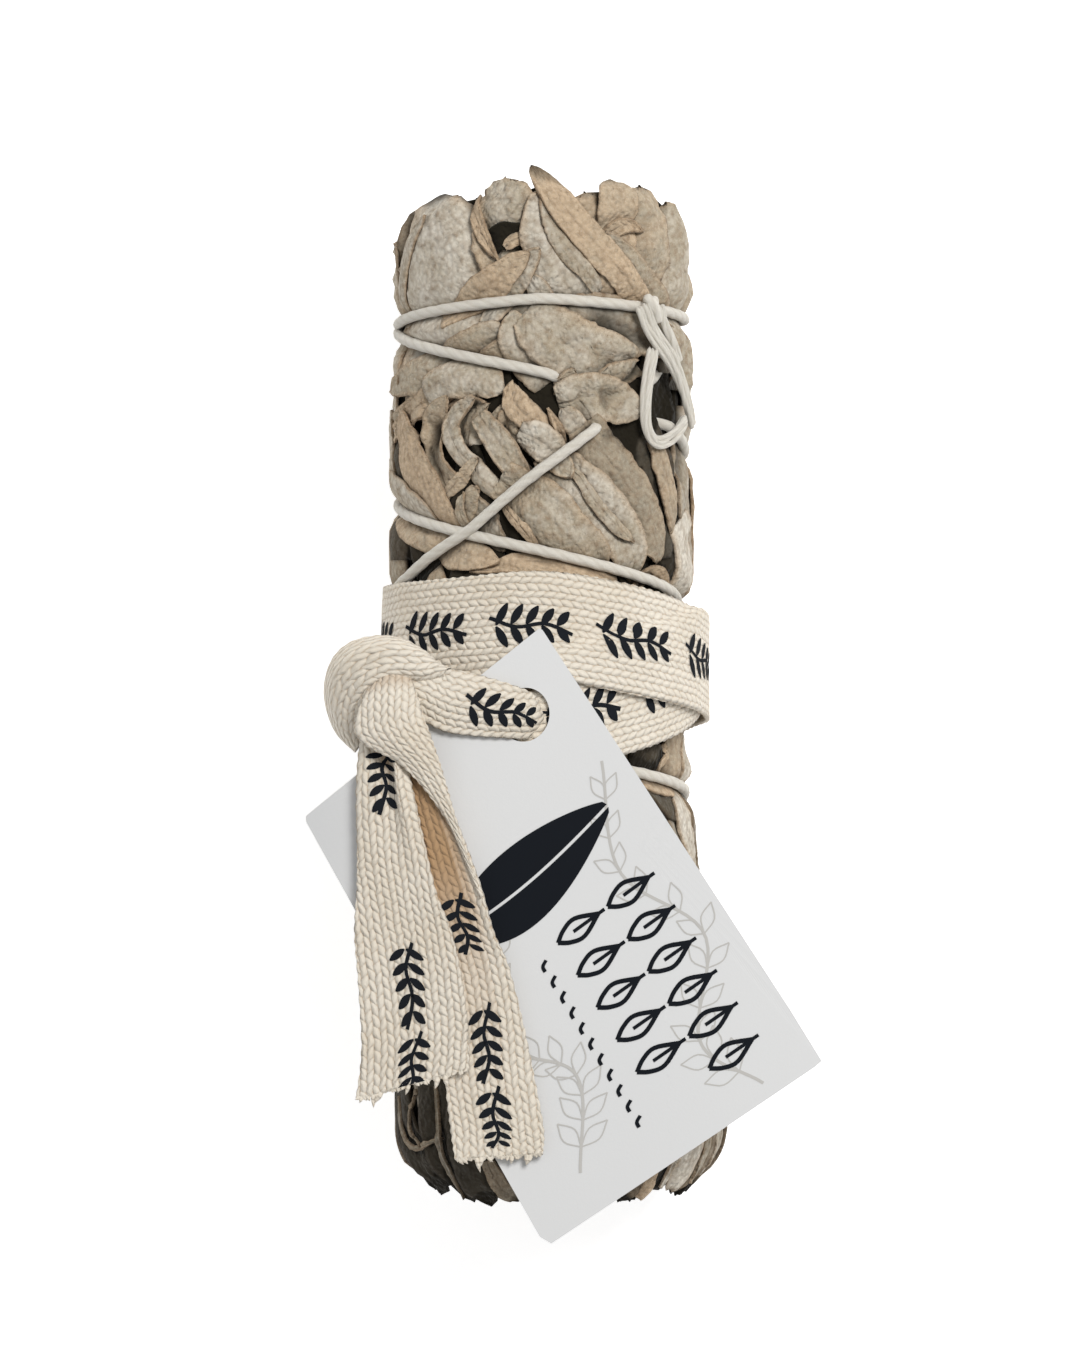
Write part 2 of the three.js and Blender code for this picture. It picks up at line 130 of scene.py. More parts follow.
# Small helpers for node materials.
class Nodes:
    def __init__(self, name):
        self.material = bpy.data.materials.new(name)
        self.material.use_nodes = True
        self.tree = self.material.node_tree
        self.shader = self.tree.nodes["Principled BSDF"]

    def add(self, kind, inputs=None, **settings):
        node = self.tree.nodes.new(kind)
        for key, value in settings.items():
            setattr(node, key, value)
        for key, value in (inputs or {}).items():
            self.put(node, key, value)
        return node

    def put(self, node, key, value):
        if isinstance(value, bpy.types.NodeSocket):
            self.tree.links.new(value, node.inputs[key])
        else:
            node.inputs[key].default_value = value

    def math(self, kind, a, b=0.0, c=0.0, clamp=False):
        node = self.add("ShaderNodeMath", {0: a, 1: b, 2: c}, operation=kind, use_clamp=clamp)
        return node.outputs[0]

    def mix(self, factor, a, b, kind="MIX"):
        node = self.add("ShaderNodeMix", data_type="RGBA", blend_type=kind)
        for key, value in ((0, factor), (6, a), (7, b)):
            self.put(node, key, value)
        return node.outputs[2]

    def ramp(self, value, *stops):
        node = self.add("ShaderNodeValToRGB", {0: value})
        marks = node.color_ramp.elements
        while len(marks) < len(stops):
            marks.new(0.5)
        for mark, (at, tint) in zip(marks, stops):
            mark.position = at
            mark.color = (*tint, 1) if hasattr(tint, "__len__") else (tint, tint, tint, 1)
        return node.outputs[0]

    def noise(self, where, scale, detail=2.0, rough=0.5, warp=0.0):
        node = self.add(
            "ShaderNodeTexNoise",
            {"Vector": where, "Scale": scale, "Detail": detail, "Roughness": rough, "Distortion": warp},
        )
        return node.outputs["Fac"]

    def attribute(self, name):
        return self.add("ShaderNodeAttribute", attribute_name=name)

    def bump(self, height, distance, strength=1.0, normal=None):
        inputs = {"Height": height, "Distance": distance, "Strength": strength}
        if normal is not None:
            inputs["Normal"] = normal
        return self.add("ShaderNodeBump", inputs).outputs[0]

    def finish(self, color, rough, normal=None, **fixed):
        self.put(self.shader, "Base Color", color)
        self.put(self.shader, "Roughness", rough)
        if normal is not None:
            self.put(self.shader, "Normal", normal)
        for key, value in fixed.items():
            self.shader.inputs[key.replace("_", " ")].default_value = value
        return self.material


def plainMaterial(name, color, rough):
    n = Nodes(name)
    return n.finish((*color, 1), rough, Specular_IOR_Level=0.08)


def unit(v):
    return v / np.maximum(np.linalg.norm(v, axis=-1, keepdims=True), 1e-9)


# A mesh that gathers sheets: each is a grid moved to given points, with a UV and a few attributes.
class Gather:
    # dark and depth carry painted shade; dark also carries darker dried leaves
    keys = ("tone", "dark", "depth", "edge", "vein")

    def __init__(self, name):
        self.name = name
        self.bm = bmesh.new()
        for key in self.keys:
            self.bm.verts.layers.float.new(key)
        self.uv = self.bm.loops.layers.uv.new("UVMap")

    def layer(self, points, uv, slot, values):
        rows, cols = points.shape[:2]
        verts = bmesh.ops.create_grid(self.bm, x_segments=cols - 1, y_segments=rows - 1, size=0.5)["verts"]
        for v, p in zip(verts, points.reshape(-1, 3) * mm):
            v.co = p
        for key, value in values.items():
            store = self.bm.verts.layers.float[key]
            for v, x in zip(verts, np.broadcast_to(value, (rows, cols)).reshape(-1)):
                v[store] = float(x)
        index = {v: i for i, v in enumerate(verts)}
        faces = list({f for v in verts for f in v.link_faces})
        faces.sort(key=lambda f: min(index[v] for v in f.verts))
        if uv is not None:
            uvFlat = uv.reshape(-1, 2)
            for f in faces:
                for loop in f.loops:
                    loop[self.uv].uv = uvFlat[index[loop.vert]]
        for f in faces:
            f.material_index = slot
        return verts, faces

    def sheet(self, points, uv=None, thick=0.0, slot=0, **values):
        # points is rows by columns by 3 in mm. The grid faces the side that columns x rows gives; a thickness
        # over 0 goes behind it and one under 0 goes in front of it.
        if not thick:
            return self.layer(points, uv, slot, values)[0]
        normal = unit(np.cross(np.gradient(points, axis=1), np.gradient(points, axis=0)))
        shifted = points - normal * thick
        front, behind = (points, shifted) if thick > 0 else (shifted, points)
        verts, _ = self.layer(front, uv, slot, values)
        under, faces = self.layer(behind, uv, slot, values)
        bmesh.ops.reverse_faces(self.bm, faces=faces)
        rows, cols = points.shape[:2]
        ring = list(range(cols)) + [cols * i + cols - 1 for i in range(1, rows)]
        ring += [cols * (rows - 1) + k for k in range(cols - 2, -1, -1)]
        ring += [cols * i for i in range(rows - 2, 0, -1)]
        for a, b in zip(ring, ring[1:] + ring[:1]):
            side = self.bm.faces.new([verts[b], verts[a], under[a], under[b]])
            side.material_index = slot
            if uv is not None:
                for loop, k in zip(side.loops, (b, a, a, b)):
                    loop[self.uv].uv = uv.reshape(-1, 2)[k]
        return verts

    def finish(self, *materials):
        mesh = bpy.data.meshes.new(self.name)
        for f in self.bm.faces:
            f.smooth = True
        self.bm.normal_update()
        self.bm.to_mesh(mesh)
        self.bm.free()
        o = bpy.data.objects.new(self.name, mesh)
        bpy.context.scene.collection.objects.link(o)
        for m in materials:
            mesh.materials.append(m)
        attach(o, "root")
        return o


# The twine's route over the bunch: [turned angle in degrees, station].
twineDown = [
    (-150, 54.5), (-90, 52), (0, 54.8), (90, 52.8), (180, 54), (270, 51), (360, 44.5), (450, 34),
    (540, 30), (630, 26.5), (720, 19.5), (810, 12), (900, 6), (990, -2), (1080, -9), (1170, -14.5),
    (1260, -24), (1350, -34), (1440, -44), (1530, -56), (1620, -64), (1710, -66), (1800, -65.5),
    (1890, -66), (1950, -66),
]
crossing = [
    (-110, 10), (-84, 13.5), (-62, 16), (-28, 22.4), (-5, 29.5), (24, 37.4), (46, 42), (60, 44.5), (78, 50),
]
# Stretches of each route, in degrees, that leaves cover.
coveredDown = [(368, 418), (1690, 1905)]
coveredCrossing = [(23, 95)]


def buried(deg, spans):
    # from 0 on the leaves to 1 under them
    depth = 0 * deg
    for a, b in spans:
        depth = np.maximum(depth, smooth(a - 4, a + 4, deg) * smooth(b + 4, b - 4, deg))
    return depth


def underTape(y):
    return smooth(14, 9, np.abs(np.asarray(y, float) - 1.5))


def nearTwine(angle, y):
    # How far places on the surface are from the closest winding, in mm.
    best = np.full(np.shape(angle), 99.0)
    for route, spans in ((twineDown, coveredDown), (crossing, coveredCrossing)):
        for (a0, y0), (a1, y1) in zip(route, route[1:]):
            slope = (y1 - y0) / (math.radians(a1 - a0) * topRadius)
            for turn in range(-2, 7):
                deg = np.degrees(angle) + 360 * turn
                line = y0 + (y1 - y0) * np.clip((deg - a0) / (a1 - a0), 0, 1)
                past = np.maximum(np.maximum(a0 - deg, deg - a1), 0) * 0.37 + 9 * buried(deg, spans)
                best = np.minimum(best, np.hypot((y - line) / math.hypot(1, slope), past))
    return best


def ceiling(near, y):
    # how high leaves may stand over the surface, near mm from a winding
    free = 0.25 + 0.35 * smooth(54, 66, y)
    return free - 2.3 * np.exp(-((near / 1.9) ** 2)) - 1.35 * underTape(y)


# The heap of leaves: a map of how high the leaves stand so far, over angle and station. Each new leaf is
# laid over it as a taut sheet.
class Heap:
    across, lengthwise = 720, 380
    low, high = -86.0, 104.0

    def __init__(self, start):
        self.height = np.full((self.across, self.lengthwise), start)

    def at(self, angle, y):
        u = (angle / (2 * math.pi) * self.across) % self.across
        v = np.clip((y - self.low) / (self.high - self.low) * self.lengthwise, 0, self.lengthwise - 1.001)
        i, j = u.astype(int), v.astype(int)
        fu, fv = u - i, v - j
        i1, j1 = (i + 1) % self.across, j + 1
        h = self.height
        return (h[i % self.across, j] * (1 - fu) + h[i1, j] * fu) * (1 - fv) + (
            h[i % self.across, j1] * (1 - fu) + h[i1, j1] * fu
        ) * fv

    def raiseTo(self, angle, y, top):
        fine = 4
        a, b, c = (refine(x, fine) for x in (angle, y, top))
        u = np.round(a / (2 * math.pi) * self.across).astype(int) % self.across
        v = np.round((b - self.low) / (self.high - self.low) * self.lengthwise)
        v = np.clip(v, 0, self.lengthwise - 1)
        np.maximum.at(self.height, (u.ravel(), v.astype(int).ravel()), c.ravel())


def refine(grid, times):
    rows, cols = grid.shape
    r = np.linspace(0, rows - 1, (rows - 1) * times + 1)
    c = np.linspace(0, cols - 1, (cols - 1) * times + 1)
    i, j = np.minimum(r.astype(int), rows - 2), np.minimum(c.astype(int), cols - 2)
    fr, fc = (r - i)[:, None], (c - j)[None, :]
    g = grid
    return (g[i][:, j] * (1 - fc) + g[i][:, j + 1] * fc) * (1 - fr) + (
        g[i + 1][:, j] * (1 - fc) + g[i + 1][:, j + 1] * fc
    ) * fr


def blur(grid):
    g = np.pad(grid, 1, mode="edge")
    return (g[:-2, 1:-1] + g[2:, 1:-1] + g[1:-1, :-2] + g[1:-1, 2:] + 2 * g[1:-1, 1:-1]) / 6


def bend(line, n):
    # Points and directions along a smooth curve through a few points.
    p = np.array(line, float)
    t = np.linspace(0, len(p) - 1, n)
    q = np.vstack([2 * p[0] - p[1], p, 2 * p[-1] - p[-2]])
    i = np.minimum(t.astype(int), len(p) - 2)
    f = (t - i)[:, None]
    a, b, c, d = q[i], q[i + 1], q[i + 2], q[i + 3]
    at = 0.5 * ((2 * b) + (c - a) * f + (2 * a - 5 * b + 4 * c - d) * f**2 + (3 * b - a - 3 * c + d) * f**3)
    return at, np.gradient(at, axis=0)


def fractal(x, y, z, octaves=3):
    x, y, z = np.broadcast_arrays(x, y, z)
    return np.array(
        [noise.fractal((a, b, c), 1.0, 2.0, octaves) for a, b, c in zip(x.ravel(), y.ravel(), z.ravel())]
    ).reshape(x.shape)


leafLook = {
    "blade": 0.42,  # mm
    "crumple": 0.42,
    "fine": 0.12,
}
made = []
rng = random.Random(71)


def layLeaf(heap, line, width, tone=0.3, roll=0.5, ridge=0.0, lift=0.0, crumple=1.0, tip=0.88, root=0.12,
            cells=(10, 26), pull=14, dark=0.0, skew=0.0, clearance=0.1, shape=0.55):
    # Lays one leaf along line, (angle in degrees, station) from root to tip, over what the heap holds.
    # roll over 0 turns the edges up and under 0 turns them down; it is the bend of each half in radians.
    # dark turns the leaf toward near black: painted shade in gaps and hollows, and darker dried leaves low in the
    # bunch
    cols, rows = cells[0] + 1, cells[1] + 1
    seed = rng.uniform(0, 99)
    pts = [(math.radians(a), y) for a, y in line]
    at, go = bend(pts, rows)
    r0 = radiusAt(at[:, 1])
    du, dy = go[:, 0] * r0, go[:, 1]
    size = np.hypot(du, dy)
    du, dy = du / size, dy / size
    s = np.linspace(0, 1, rows)
    t = np.linspace(-1, 1, cols)
    form = np.sin(np.pi * (root + (tip - root) * s)) ** shape * np.sqrt(1 - 0.995 * s**7)
    edge = 1 + 0.16 * fractal(s * 3.5 + seed, 0 * s, 0 * s + 2)
    edge = edge + 0.05 * (1 - s**4) * fractal(s * 14 + seed, 0 * s, 0 * s)
    half = np.maximum(0.25, width / 2 * form * edge)
    bendAngle = roll * (0.75 + 0.35 * np.sin(3.1 * s + seed))
    bendAngle = np.where(np.abs(bendAngle) < 0.05, 0.05, bendAngle)[:, None]
    across = np.sin(bendAngle * t) / bendAngle
    up = (1 - np.cos(bendAngle * t)) / np.abs(bendAngle)
    up = np.where(bendAngle < 0, up.max(axis=1, keepdims=True) - up, up)
    sideways = across * half[:, None] + skew * half[:, None] * s[:, None] ** 2
    angle = at[:, 0][:, None] + sideways * dy[:, None] / r0[:, None]
    y = at[:, 1][:, None] - sideways * du[:, None]
    base = heap.at(angle, y)
    b = base + clearance
    for _ in range(pull):
        b = np.maximum(base + clearance, blur(b))
    own = up * half[:, None] + ridge * (1 - np.abs(t)[None, :]) ** 1.5 * np.sin(np.pi * s)[:, None]
    rough = fractal(angle * 4.5 + seed, y * 0.22, y * 0 + seed)
    edges = 0.45 + 0.75 * np.abs(t)[None, :] ** 2
    own = own + crumple * leafLook["crumple"] * (rough + 0.6) * edges
    own = own + crumple * leafLook["fine"] * fractal(angle * 16 + seed, y * 0.8, y * 0 + 3)
    own = own + lift * smooth(0.25, 0.8, s)[:, None]
    ease = smooth(0, 0.12, s)[:, None]
    top = b + np.maximum(own, 0) * ease
    heap.raiseTo(angle, y, top + leafLook["blade"] * 0.5)
    made.append(dict(angle=angle, y=y, top=top, s=s, t=t, tone=tone, dark=dark, seed=seed))


# The leaves that the camera sees, from the lowest to the topmost. line is in the camera's image points.
heroLeaves = [
    # low ones that close the gaps, darkened as painted shade in the gaps
    dict(line=[(474, 340), (470, 290), (468, 240), (470, 198)], width=13, tone=0.3, dark=0.3, shape=0.4,
        tip=0.7),
    dict(line=[(540, 330), (540, 270), (540, 220), (537, 186)], width=12, tone=0.4, dark=0.3, shape=0.4,
        tip=0.7),
    dict(line=[(612, 330), (614, 270), (614, 226), (611, 190)], width=12, tone=0.35, dark=0.3, shape=0.4,
        tip=0.7),
    dict(line=[(660, 340), (662, 290), (664, 240), (660, 198)], width=12, tone=0.3, dark=0.25, shape=0.4,
        tip=0.7),
    dict(line=[(420, 340), (414, 300), (412, 250), (424, 218)], width=12, tone=0.3, dark=0.25, shape=0.4,
        tip=0.7),
    dict(line=[(655, 560), (650, 500), (640, 430), (645, 380)], width=11, tone=0.3, dark=0.86),
    dict(line=[(400, 560), (400, 500), (402, 450), (398, 380)], width=10, tone=0.4, dark=0.8),
    dict(line=[(600, 600), (560, 560), (520, 530), (480, 520)], width=9, tone=0.5, dark=0.86),
    dict(line=[(560, 330), (566, 280), (570, 240), (572, 205)], width=9, tone=0.45, dark=0.6),
    # crown, right: broad leaves with rounded tips
    dict(line=[(690, 390), (689, 330), (686, 270), (680, 214)], width=13, tone=0.34, roll=0.6, dark=0.05,
        shape=0.4,
         tip=0.7),
    dict(line=[(678, 372), (677, 300), (676, 250), (672, 202)], width=11, tone=0.3, roll=-0.7, shape=0.4,
         crumple=1.4, lift=0.5, tip=0.72),
    dict(line=[(604, 300), (598, 258), (592, 222), (588, 192)], width=8.5, tone=0.62, roll=-0.8, shape=0.35,
         crumple=1.4, lift=0.4, tip=0.68),
    dict(line=[(636, 330), (640, 280), (643, 236), (646, 186)], width=10.5, tone=0.46, roll=-0.6,
        shape=0.35,
         crumple=1.6, lift=0.6, cells=(14, 34), tip=0.7),
    dict(line=[(618, 300), (617, 250), (616, 214), (616, 181)], width=8, tone=0.66, roll=-1.1, shape=0.3,
         crumple=0.9, lift=0.8, cells=(14, 30), tip=0.66),
    dict(line=[(600, 246), (612, 230), (626, 226), (640, 232)], width=2.8, tone=0.75, roll=1.3, lift=0.8),
    # crown, left: the shoulder's broad leaf and the edge beside it
    dict(line=[(394, 440), (392, 370), (392, 310), (399, 244)], width=12, tone=0.25, roll=0.6, crumple=1.0,
        shape=0.45,
         tip=0.72),
    dict(line=[(434, 420), (434, 340), (438, 262), (452, 197)], width=20.5, tone=0.12, roll=-0.55,
        ridge=0.5,
         crumple=0.6, cells=(24, 46), shape=0.36, lift=0.4, tip=0.74),
    dict(line=[(404, 330), (406, 296), (412, 256), (430, 216)], width=2.6, tone=0.22, roll=-1.3,
        crumple=0.5,
         shape=0.5),
    # pebbled tuft
    dict(line=[(520, 330), (514, 272), (508, 222), (504, 178)], width=11, tone=0.3, roll=-0.9, crumple=3.2,
         cells=(24, 44), shape=0.32, lift=0.8, tip=0.62),
    dict(line=[(486, 250), (500, 238), (520, 236), (540, 238)], width=4.5, tone=0.6, roll=0.8, dark=1.0,
        shape=0.45),
    dict(line=[(506, 248), (516, 240), (528, 237), (540, 234)], width=2.0, tone=0.7, roll=-1.6, crumple=0.6,
        lift=0.5),
    dict(line=[(474, 197), (479, 220), (488, 242), (500, 262)], width=2.4, tone=0.95, roll=1.7, crumple=0.4,
        root=0.2,
         lift=0.5),
    # leaves round the middle of the crown
    dict(line=[(590, 312), (563, 278), (548, 240), (538, 190)], width=8.5, tone=0.14, roll=0.6,
        cells=(14, 38),
         shape=0.4, lift=0.3),
    dict(line=[(600, 290), (576, 262), (556, 236), (540, 196)], width=3.2, tone=0.3, roll=-1.3,
        cells=(10, 34),
         lift=0.4),
    dict(line=[(676, 322), (650, 290), (628, 262), (604, 232)], width=4.4, tone=0.38, roll=0.7,
        cells=(10, 30), lift=0.3),
    dict(line=[(656, 322), (628, 284), (582, 232), (530, 165)], width=5.2, tone=0.72, roll=-1.1,
        crumple=0.7,
         cells=(16, 54), lift=0.8, shape=0.3, tip=0.84),
    dict(line=[(560, 318), (548, 302), (536, 286), (524, 272)], width=3.6, tone=0.2, roll=-0.7, lift=0.3),
    dict(line=[(484, 326), (500, 298), (520, 272), (540, 248)], width=4.6, tone=0.26, roll=0.9,
        cells=(12, 32), lift=0.4),
    dict(line=[(440, 322), (474, 298), (504, 274), (530, 252)], width=5.2, tone=0.7, roll=-0.8,
        cells=(14, 34),
         crumple=0.6, lift=0.7, shape=0.7),
    # rays to the lower left of the first winding
    dict(line=[(504, 332), (468, 352), (430, 372), (392, 392)], width=6.5, tone=0.35, roll=0.7),
    dict(line=[(512, 340), (480, 368), (440, 396), (393, 428)], width=5.2, tone=0.5, roll=1.0),
    dict(line=[(398, 436), (424, 404), (456, 382), (492, 372)], width=4.2, tone=0.6, roll=0.9, lift=0.2),
    dict(line=[(428, 392), (452, 380), (478, 378), (504, 392)], width=6.0, tone=0.22, roll=-0.5, shape=0.45,
        lift=0.3),
    dict(line=[(545, 386), (530, 360), (518, 338), (510, 312)], width=6.5, tone=0.25, roll=-0.5,
        crumple=0.8, lift=0.2),
    # right of them
    dict(line=[(570, 312), (604, 318), (640, 330), (676, 352)], width=7.4, tone=0.28, roll=0.5, crumple=1.0,
        shape=0.45),
    dict(line=[(526, 312), (556, 338), (592, 354), (640, 357)], width=9.2, tone=0.24, roll=-0.6, ridge=0.4,
         cells=(20, 40), lift=0.7, crumple=0.9, shape=0.5),
    dict(line=[(646, 366), (630, 372), (614, 374), (600, 372)], width=3.8, tone=0.3, roll=-0.5, crumple=1.2,
        lift=0.2),
    dict(line=[(560, 396), (564, 388), (569, 378), (574, 368)], width=3.0, tone=0.4, roll=0.8, lift=0.2),
    dict(line=[(560, 404), (584, 396), (612, 400), (642, 412)], width=6.8, tone=0.28, roll=-0.6,
        crumple=1.5,
         cells=(18, 30), lift=0.8, shape=0.3),
    dict(line=[(598, 448), (586, 434), (572, 420), (564, 408)], width=3.6, tone=0.22, roll=-0.8, lift=0.3),
    dict(line=[(394, 410), (392, 440), (392, 474), (396, 512)], width=6, tone=0.25, roll=-0.5, lift=0.2),
    dict(line=[(466, 496), (478, 514), (490, 532), (502, 552)], width=4.4, tone=0.25, dark=0.2, roll=-0.5),
    # curved folds on the left
    dict(line=[(458, 488), (436, 462), (434, 424), (450, 396)], width=5, tone=0.45, roll=0.8,
        cells=(12, 30), lift=0.2),
    dict(line=[(470, 446), (468, 428), (474, 412), (486, 402)], width=5.2, tone=0.3, roll=0.7,
        cells=(12, 26)),
    dict(line=[(540, 484), (512, 462), (488, 436), (506, 404)], width=2.9, tone=0.3, roll=-1.5,
        cells=(12, 40), lift=0.8,
         shape=0.3),
    dict(line=[(520, 446), (510, 432), (506, 420), (512, 406)], width=3.4, tone=0.55, roll=0.9, dark=0.1),
    dict(line=[(508, 502), (476, 470), (452, 428), (476, 396)], width=3.4, tone=0.22, roll=-1.4,
        cells=(12, 44), lift=0.8,
         shape=0.3),
    dict(line=[(444, 500), (462, 480), (470, 470), (480, 458)], width=2.4, tone=0.5, roll=-1.2, lift=0.4),
    dict(line=[(456, 560), (434, 500), (412, 452), (406, 410)], width=6.4, tone=0.78, roll=-0.7,
        cells=(14, 40), lift=0.7,
         crumple=0.7),
    dict(line=[(550, 436), (532, 420), (516, 404), (510, 382)], width=4.7, tone=0.85, roll=-1.2,
        cells=(14, 30), lift=0.7,
         ridge=0.3, crumple=1.1),
    dict(line=[(568, 446), (562, 434), (555, 422), (548, 408)], width=1.5, tone=0.8, roll=-1.2, lift=0.5),
    dict(line=[(462, 522), (470, 506), (474, 494), (480, 486)], width=2.6, tone=0.4, roll=-1.0, lift=0.3),
    dict(line=[(466, 536), (462, 516), (462, 504), (466, 492)], width=1.9, tone=0.35, roll=-1.2, lift=0.4),
    # long leaves that run to the lower right
    dict(line=[(684, 430), (684, 470), (683, 500), (682, 528)], width=8, tone=0.34, roll=-0.8, crumple=1.6,
        dark=0.22,
         shape=0.35, lift=0.5, tip=0.7),
    dict(line=[(676, 520), (682, 550), (684, 580), (684, 604)], width=9, tone=0.0, roll=-0.5, crumple=0.5,
        shape=0.4,
         lift=0.3),
    dict(line=[(652, 440), (660, 470), (666, 500), (668, 534)], width=3.8, tone=0.6, roll=-0.7, dark=0.12,
        lift=0.3),
    dict(line=[(584, 424), (612, 466), (640, 510), (658, 562)], width=7.4, tone=0.42, roll=-0.7,
        crumple=2.0,
         dark=0.2, cells=(18, 44), shape=0.38, lift=0.5),
    dict(line=[(544, 450), (580, 484), (616, 524), (644, 584)], width=7.2, tone=0.2, roll=0.45, ridge=0.6,
         cells=(18, 48), shape=0.4, lift=0.4),
    dict(line=[(574, 470), (592, 500), (612, 524), (632, 542)], width=2.2, tone=0.35, roll=-1.4, lift=0.7),
    dict(line=[(520, 430), (540, 440), (556, 456), (572, 478)], width=5.2, tone=0.18, roll=-0.5,
        crumple=0.7, lift=0.3),
    dict(line=[(480, 416), (498, 440), (514, 466), (534, 500)], width=4.8, tone=0.3, roll=0.8, crumple=0.7,
        lift=0.3),
    dict(line=[(500, 478), (536, 506), (572, 540), (612, 574)], width=8.6, tone=0.36, roll=-0.5, ridge=0.3,
         cells=(20, 46), lift=0.7, crumple=0.8, shape=0.42),
    dict(line=[(500, 504), (516, 520), (530, 536), (540, 552)], width=1.8, tone=0.85, roll=-1.3, lift=0.5),
    dict(line=[(640, 592), (648, 580), (660, 574), (676, 590)], width=2.8, tone=0.95, roll=1.0, dark=0.1),
    dict(line=[(620, 584), (580, 568), (530, 562), (470, 572)], width=3.4, tone=0.85, roll=0.7),
    dict(line=[(396, 512), (424, 534), (456, 552), (500, 562)], width=5.4, tone=0.62, roll=-0.6, lift=0.4),
    dict(line=[(390, 478), (402, 492), (416, 506), (434, 520)], width=4.6, tone=0.2, roll=-0.6, lift=0.2),
    # right of the card, under the band: the dark ones are painted shade between leaves, with darker dried leaves
    dict(line=[(640, 736), (648, 750), (656, 764), (664, 778)], width=7, tone=0.4, dark=0.75),
    dict(line=[(690, 736), (688, 752), (686, 766), (684, 780)], width=6, tone=0.1, roll=-0.6, lift=0.3,
        shape=0.4),
    dict(line=[(668, 744), (670, 754), (664, 766), (668, 780)], width=1.2, tone=0.8, roll=-1.2, lift=0.3),
    dict(line=[(650, 782), (664, 794), (676, 806), (682, 822)], width=6, tone=0.4, dark=0.8),
    dict(line=[(646, 784), (658, 786), (670, 790), (684, 796)], width=2.6, tone=0.8, roll=-1.0, lift=0.4),
    dict(line=[(676, 796), (680, 820), (686, 846), (698, 878)], width=5.6, tone=0.06, roll=-0.5, lift=0.5,
         shape=0.4),
    dict(line=[(694, 790), (694, 830), (698, 870), (706, 920)], width=4, tone=0.3, dark=0.45),
    # the lower end's left: near-black painted shade in the hollows, with dark dried leaves, between thin light edges
    dict(line=[(408, 1050), (406, 1100), (412, 1140), (428, 1186)], width=8, tone=0.3, dark=0.93,
        shape=0.35, tip=0.7),
    dict(line=[(436, 1060), (438, 1110), (442, 1156), (452, 1202)], width=8, tone=0.3, dark=0.93,
        shape=0.35, tip=0.7),
    dict(line=[(470, 1070), (470, 1120), (472, 1166), (474, 1208)], width=8, tone=0.3, dark=0.93,
        shape=0.35, tip=0.7),
    dict(line=[(504, 1080), (505, 1130), (507, 1170), (508, 1203)], width=8, tone=0.3, dark=0.93,
        shape=0.35, tip=0.7),
    dict(line=[(538, 1090), (538, 1140), (538, 1176), (536, 1198)], width=8, tone=0.3, dark=0.93,
        shape=0.35, tip=0.7),
    dict(line=[(404, 1096), (406, 1126), (416, 1148), (444, 1138)], width=1.1, tone=0.4, dark=0.35,
        roll=-1.2,
         lift=0.3),
    dict(line=[(420, 1090), (414, 1110), (414, 1130), (424, 1146)], width=0.9, tone=0.5, dark=0.45,
        roll=-1.2,
         lift=0.3),
    dict(line=[(440, 1086), (441, 1130), (443, 1170), (446, 1200)], width=1.3, tone=0.3, dark=0.4,
        roll=-1.2,
         lift=0.3),
    dict(line=[(488, 1160), (494, 1180), (500, 1192), (512, 1200)], width=3.2, tone=0.5, dark=0.45,
        roll=-0.8,
         lift=0.3),
    # its right: blunt rolled ends; the first and the last ones are darkened as painted shade
    dict(line=[(664, 1120), (664, 1150), (662, 1172), (660, 1192)], width=7, tone=0.3, dark=0.93,
        shape=0.35, tip=0.7),
    dict(line=[(716, 1090), (718, 1120), (719, 1146), (716, 1174)], width=6, tone=0.2, roll=-1.1, shape=0.3,
         lift=0.5, tip=0.66),
    dict(line=[(690, 1100), (690, 1136), (688, 1164), (684, 1190)], width=5.4, tone=0.12, roll=-1.0,
        shape=0.3,
         lift=0.5, tip=0.66),
    dict(line=[(703, 1100), (704, 1130), (703, 1156), (700, 1184)], width=1.7, tone=0.35, roll=-1.2,
        lift=0.8),
    dict(line=[(677, 1120), (676, 1146), (674, 1168), (671, 1188)], width=1.6, tone=0.2, roll=-1.2,
        lift=0.6),
    dict(line=[(650, 1130), (652, 1160), (653, 1180), (652, 1200)], width=3.4, tone=1.0, roll=-1.2,
        shape=0.3,
         lift=0.5, tip=0.66),
    dict(line=[(630, 1150), (634, 1176), (636, 1190), (634, 1204)], width=4, tone=0.6, dark=0.6),
]


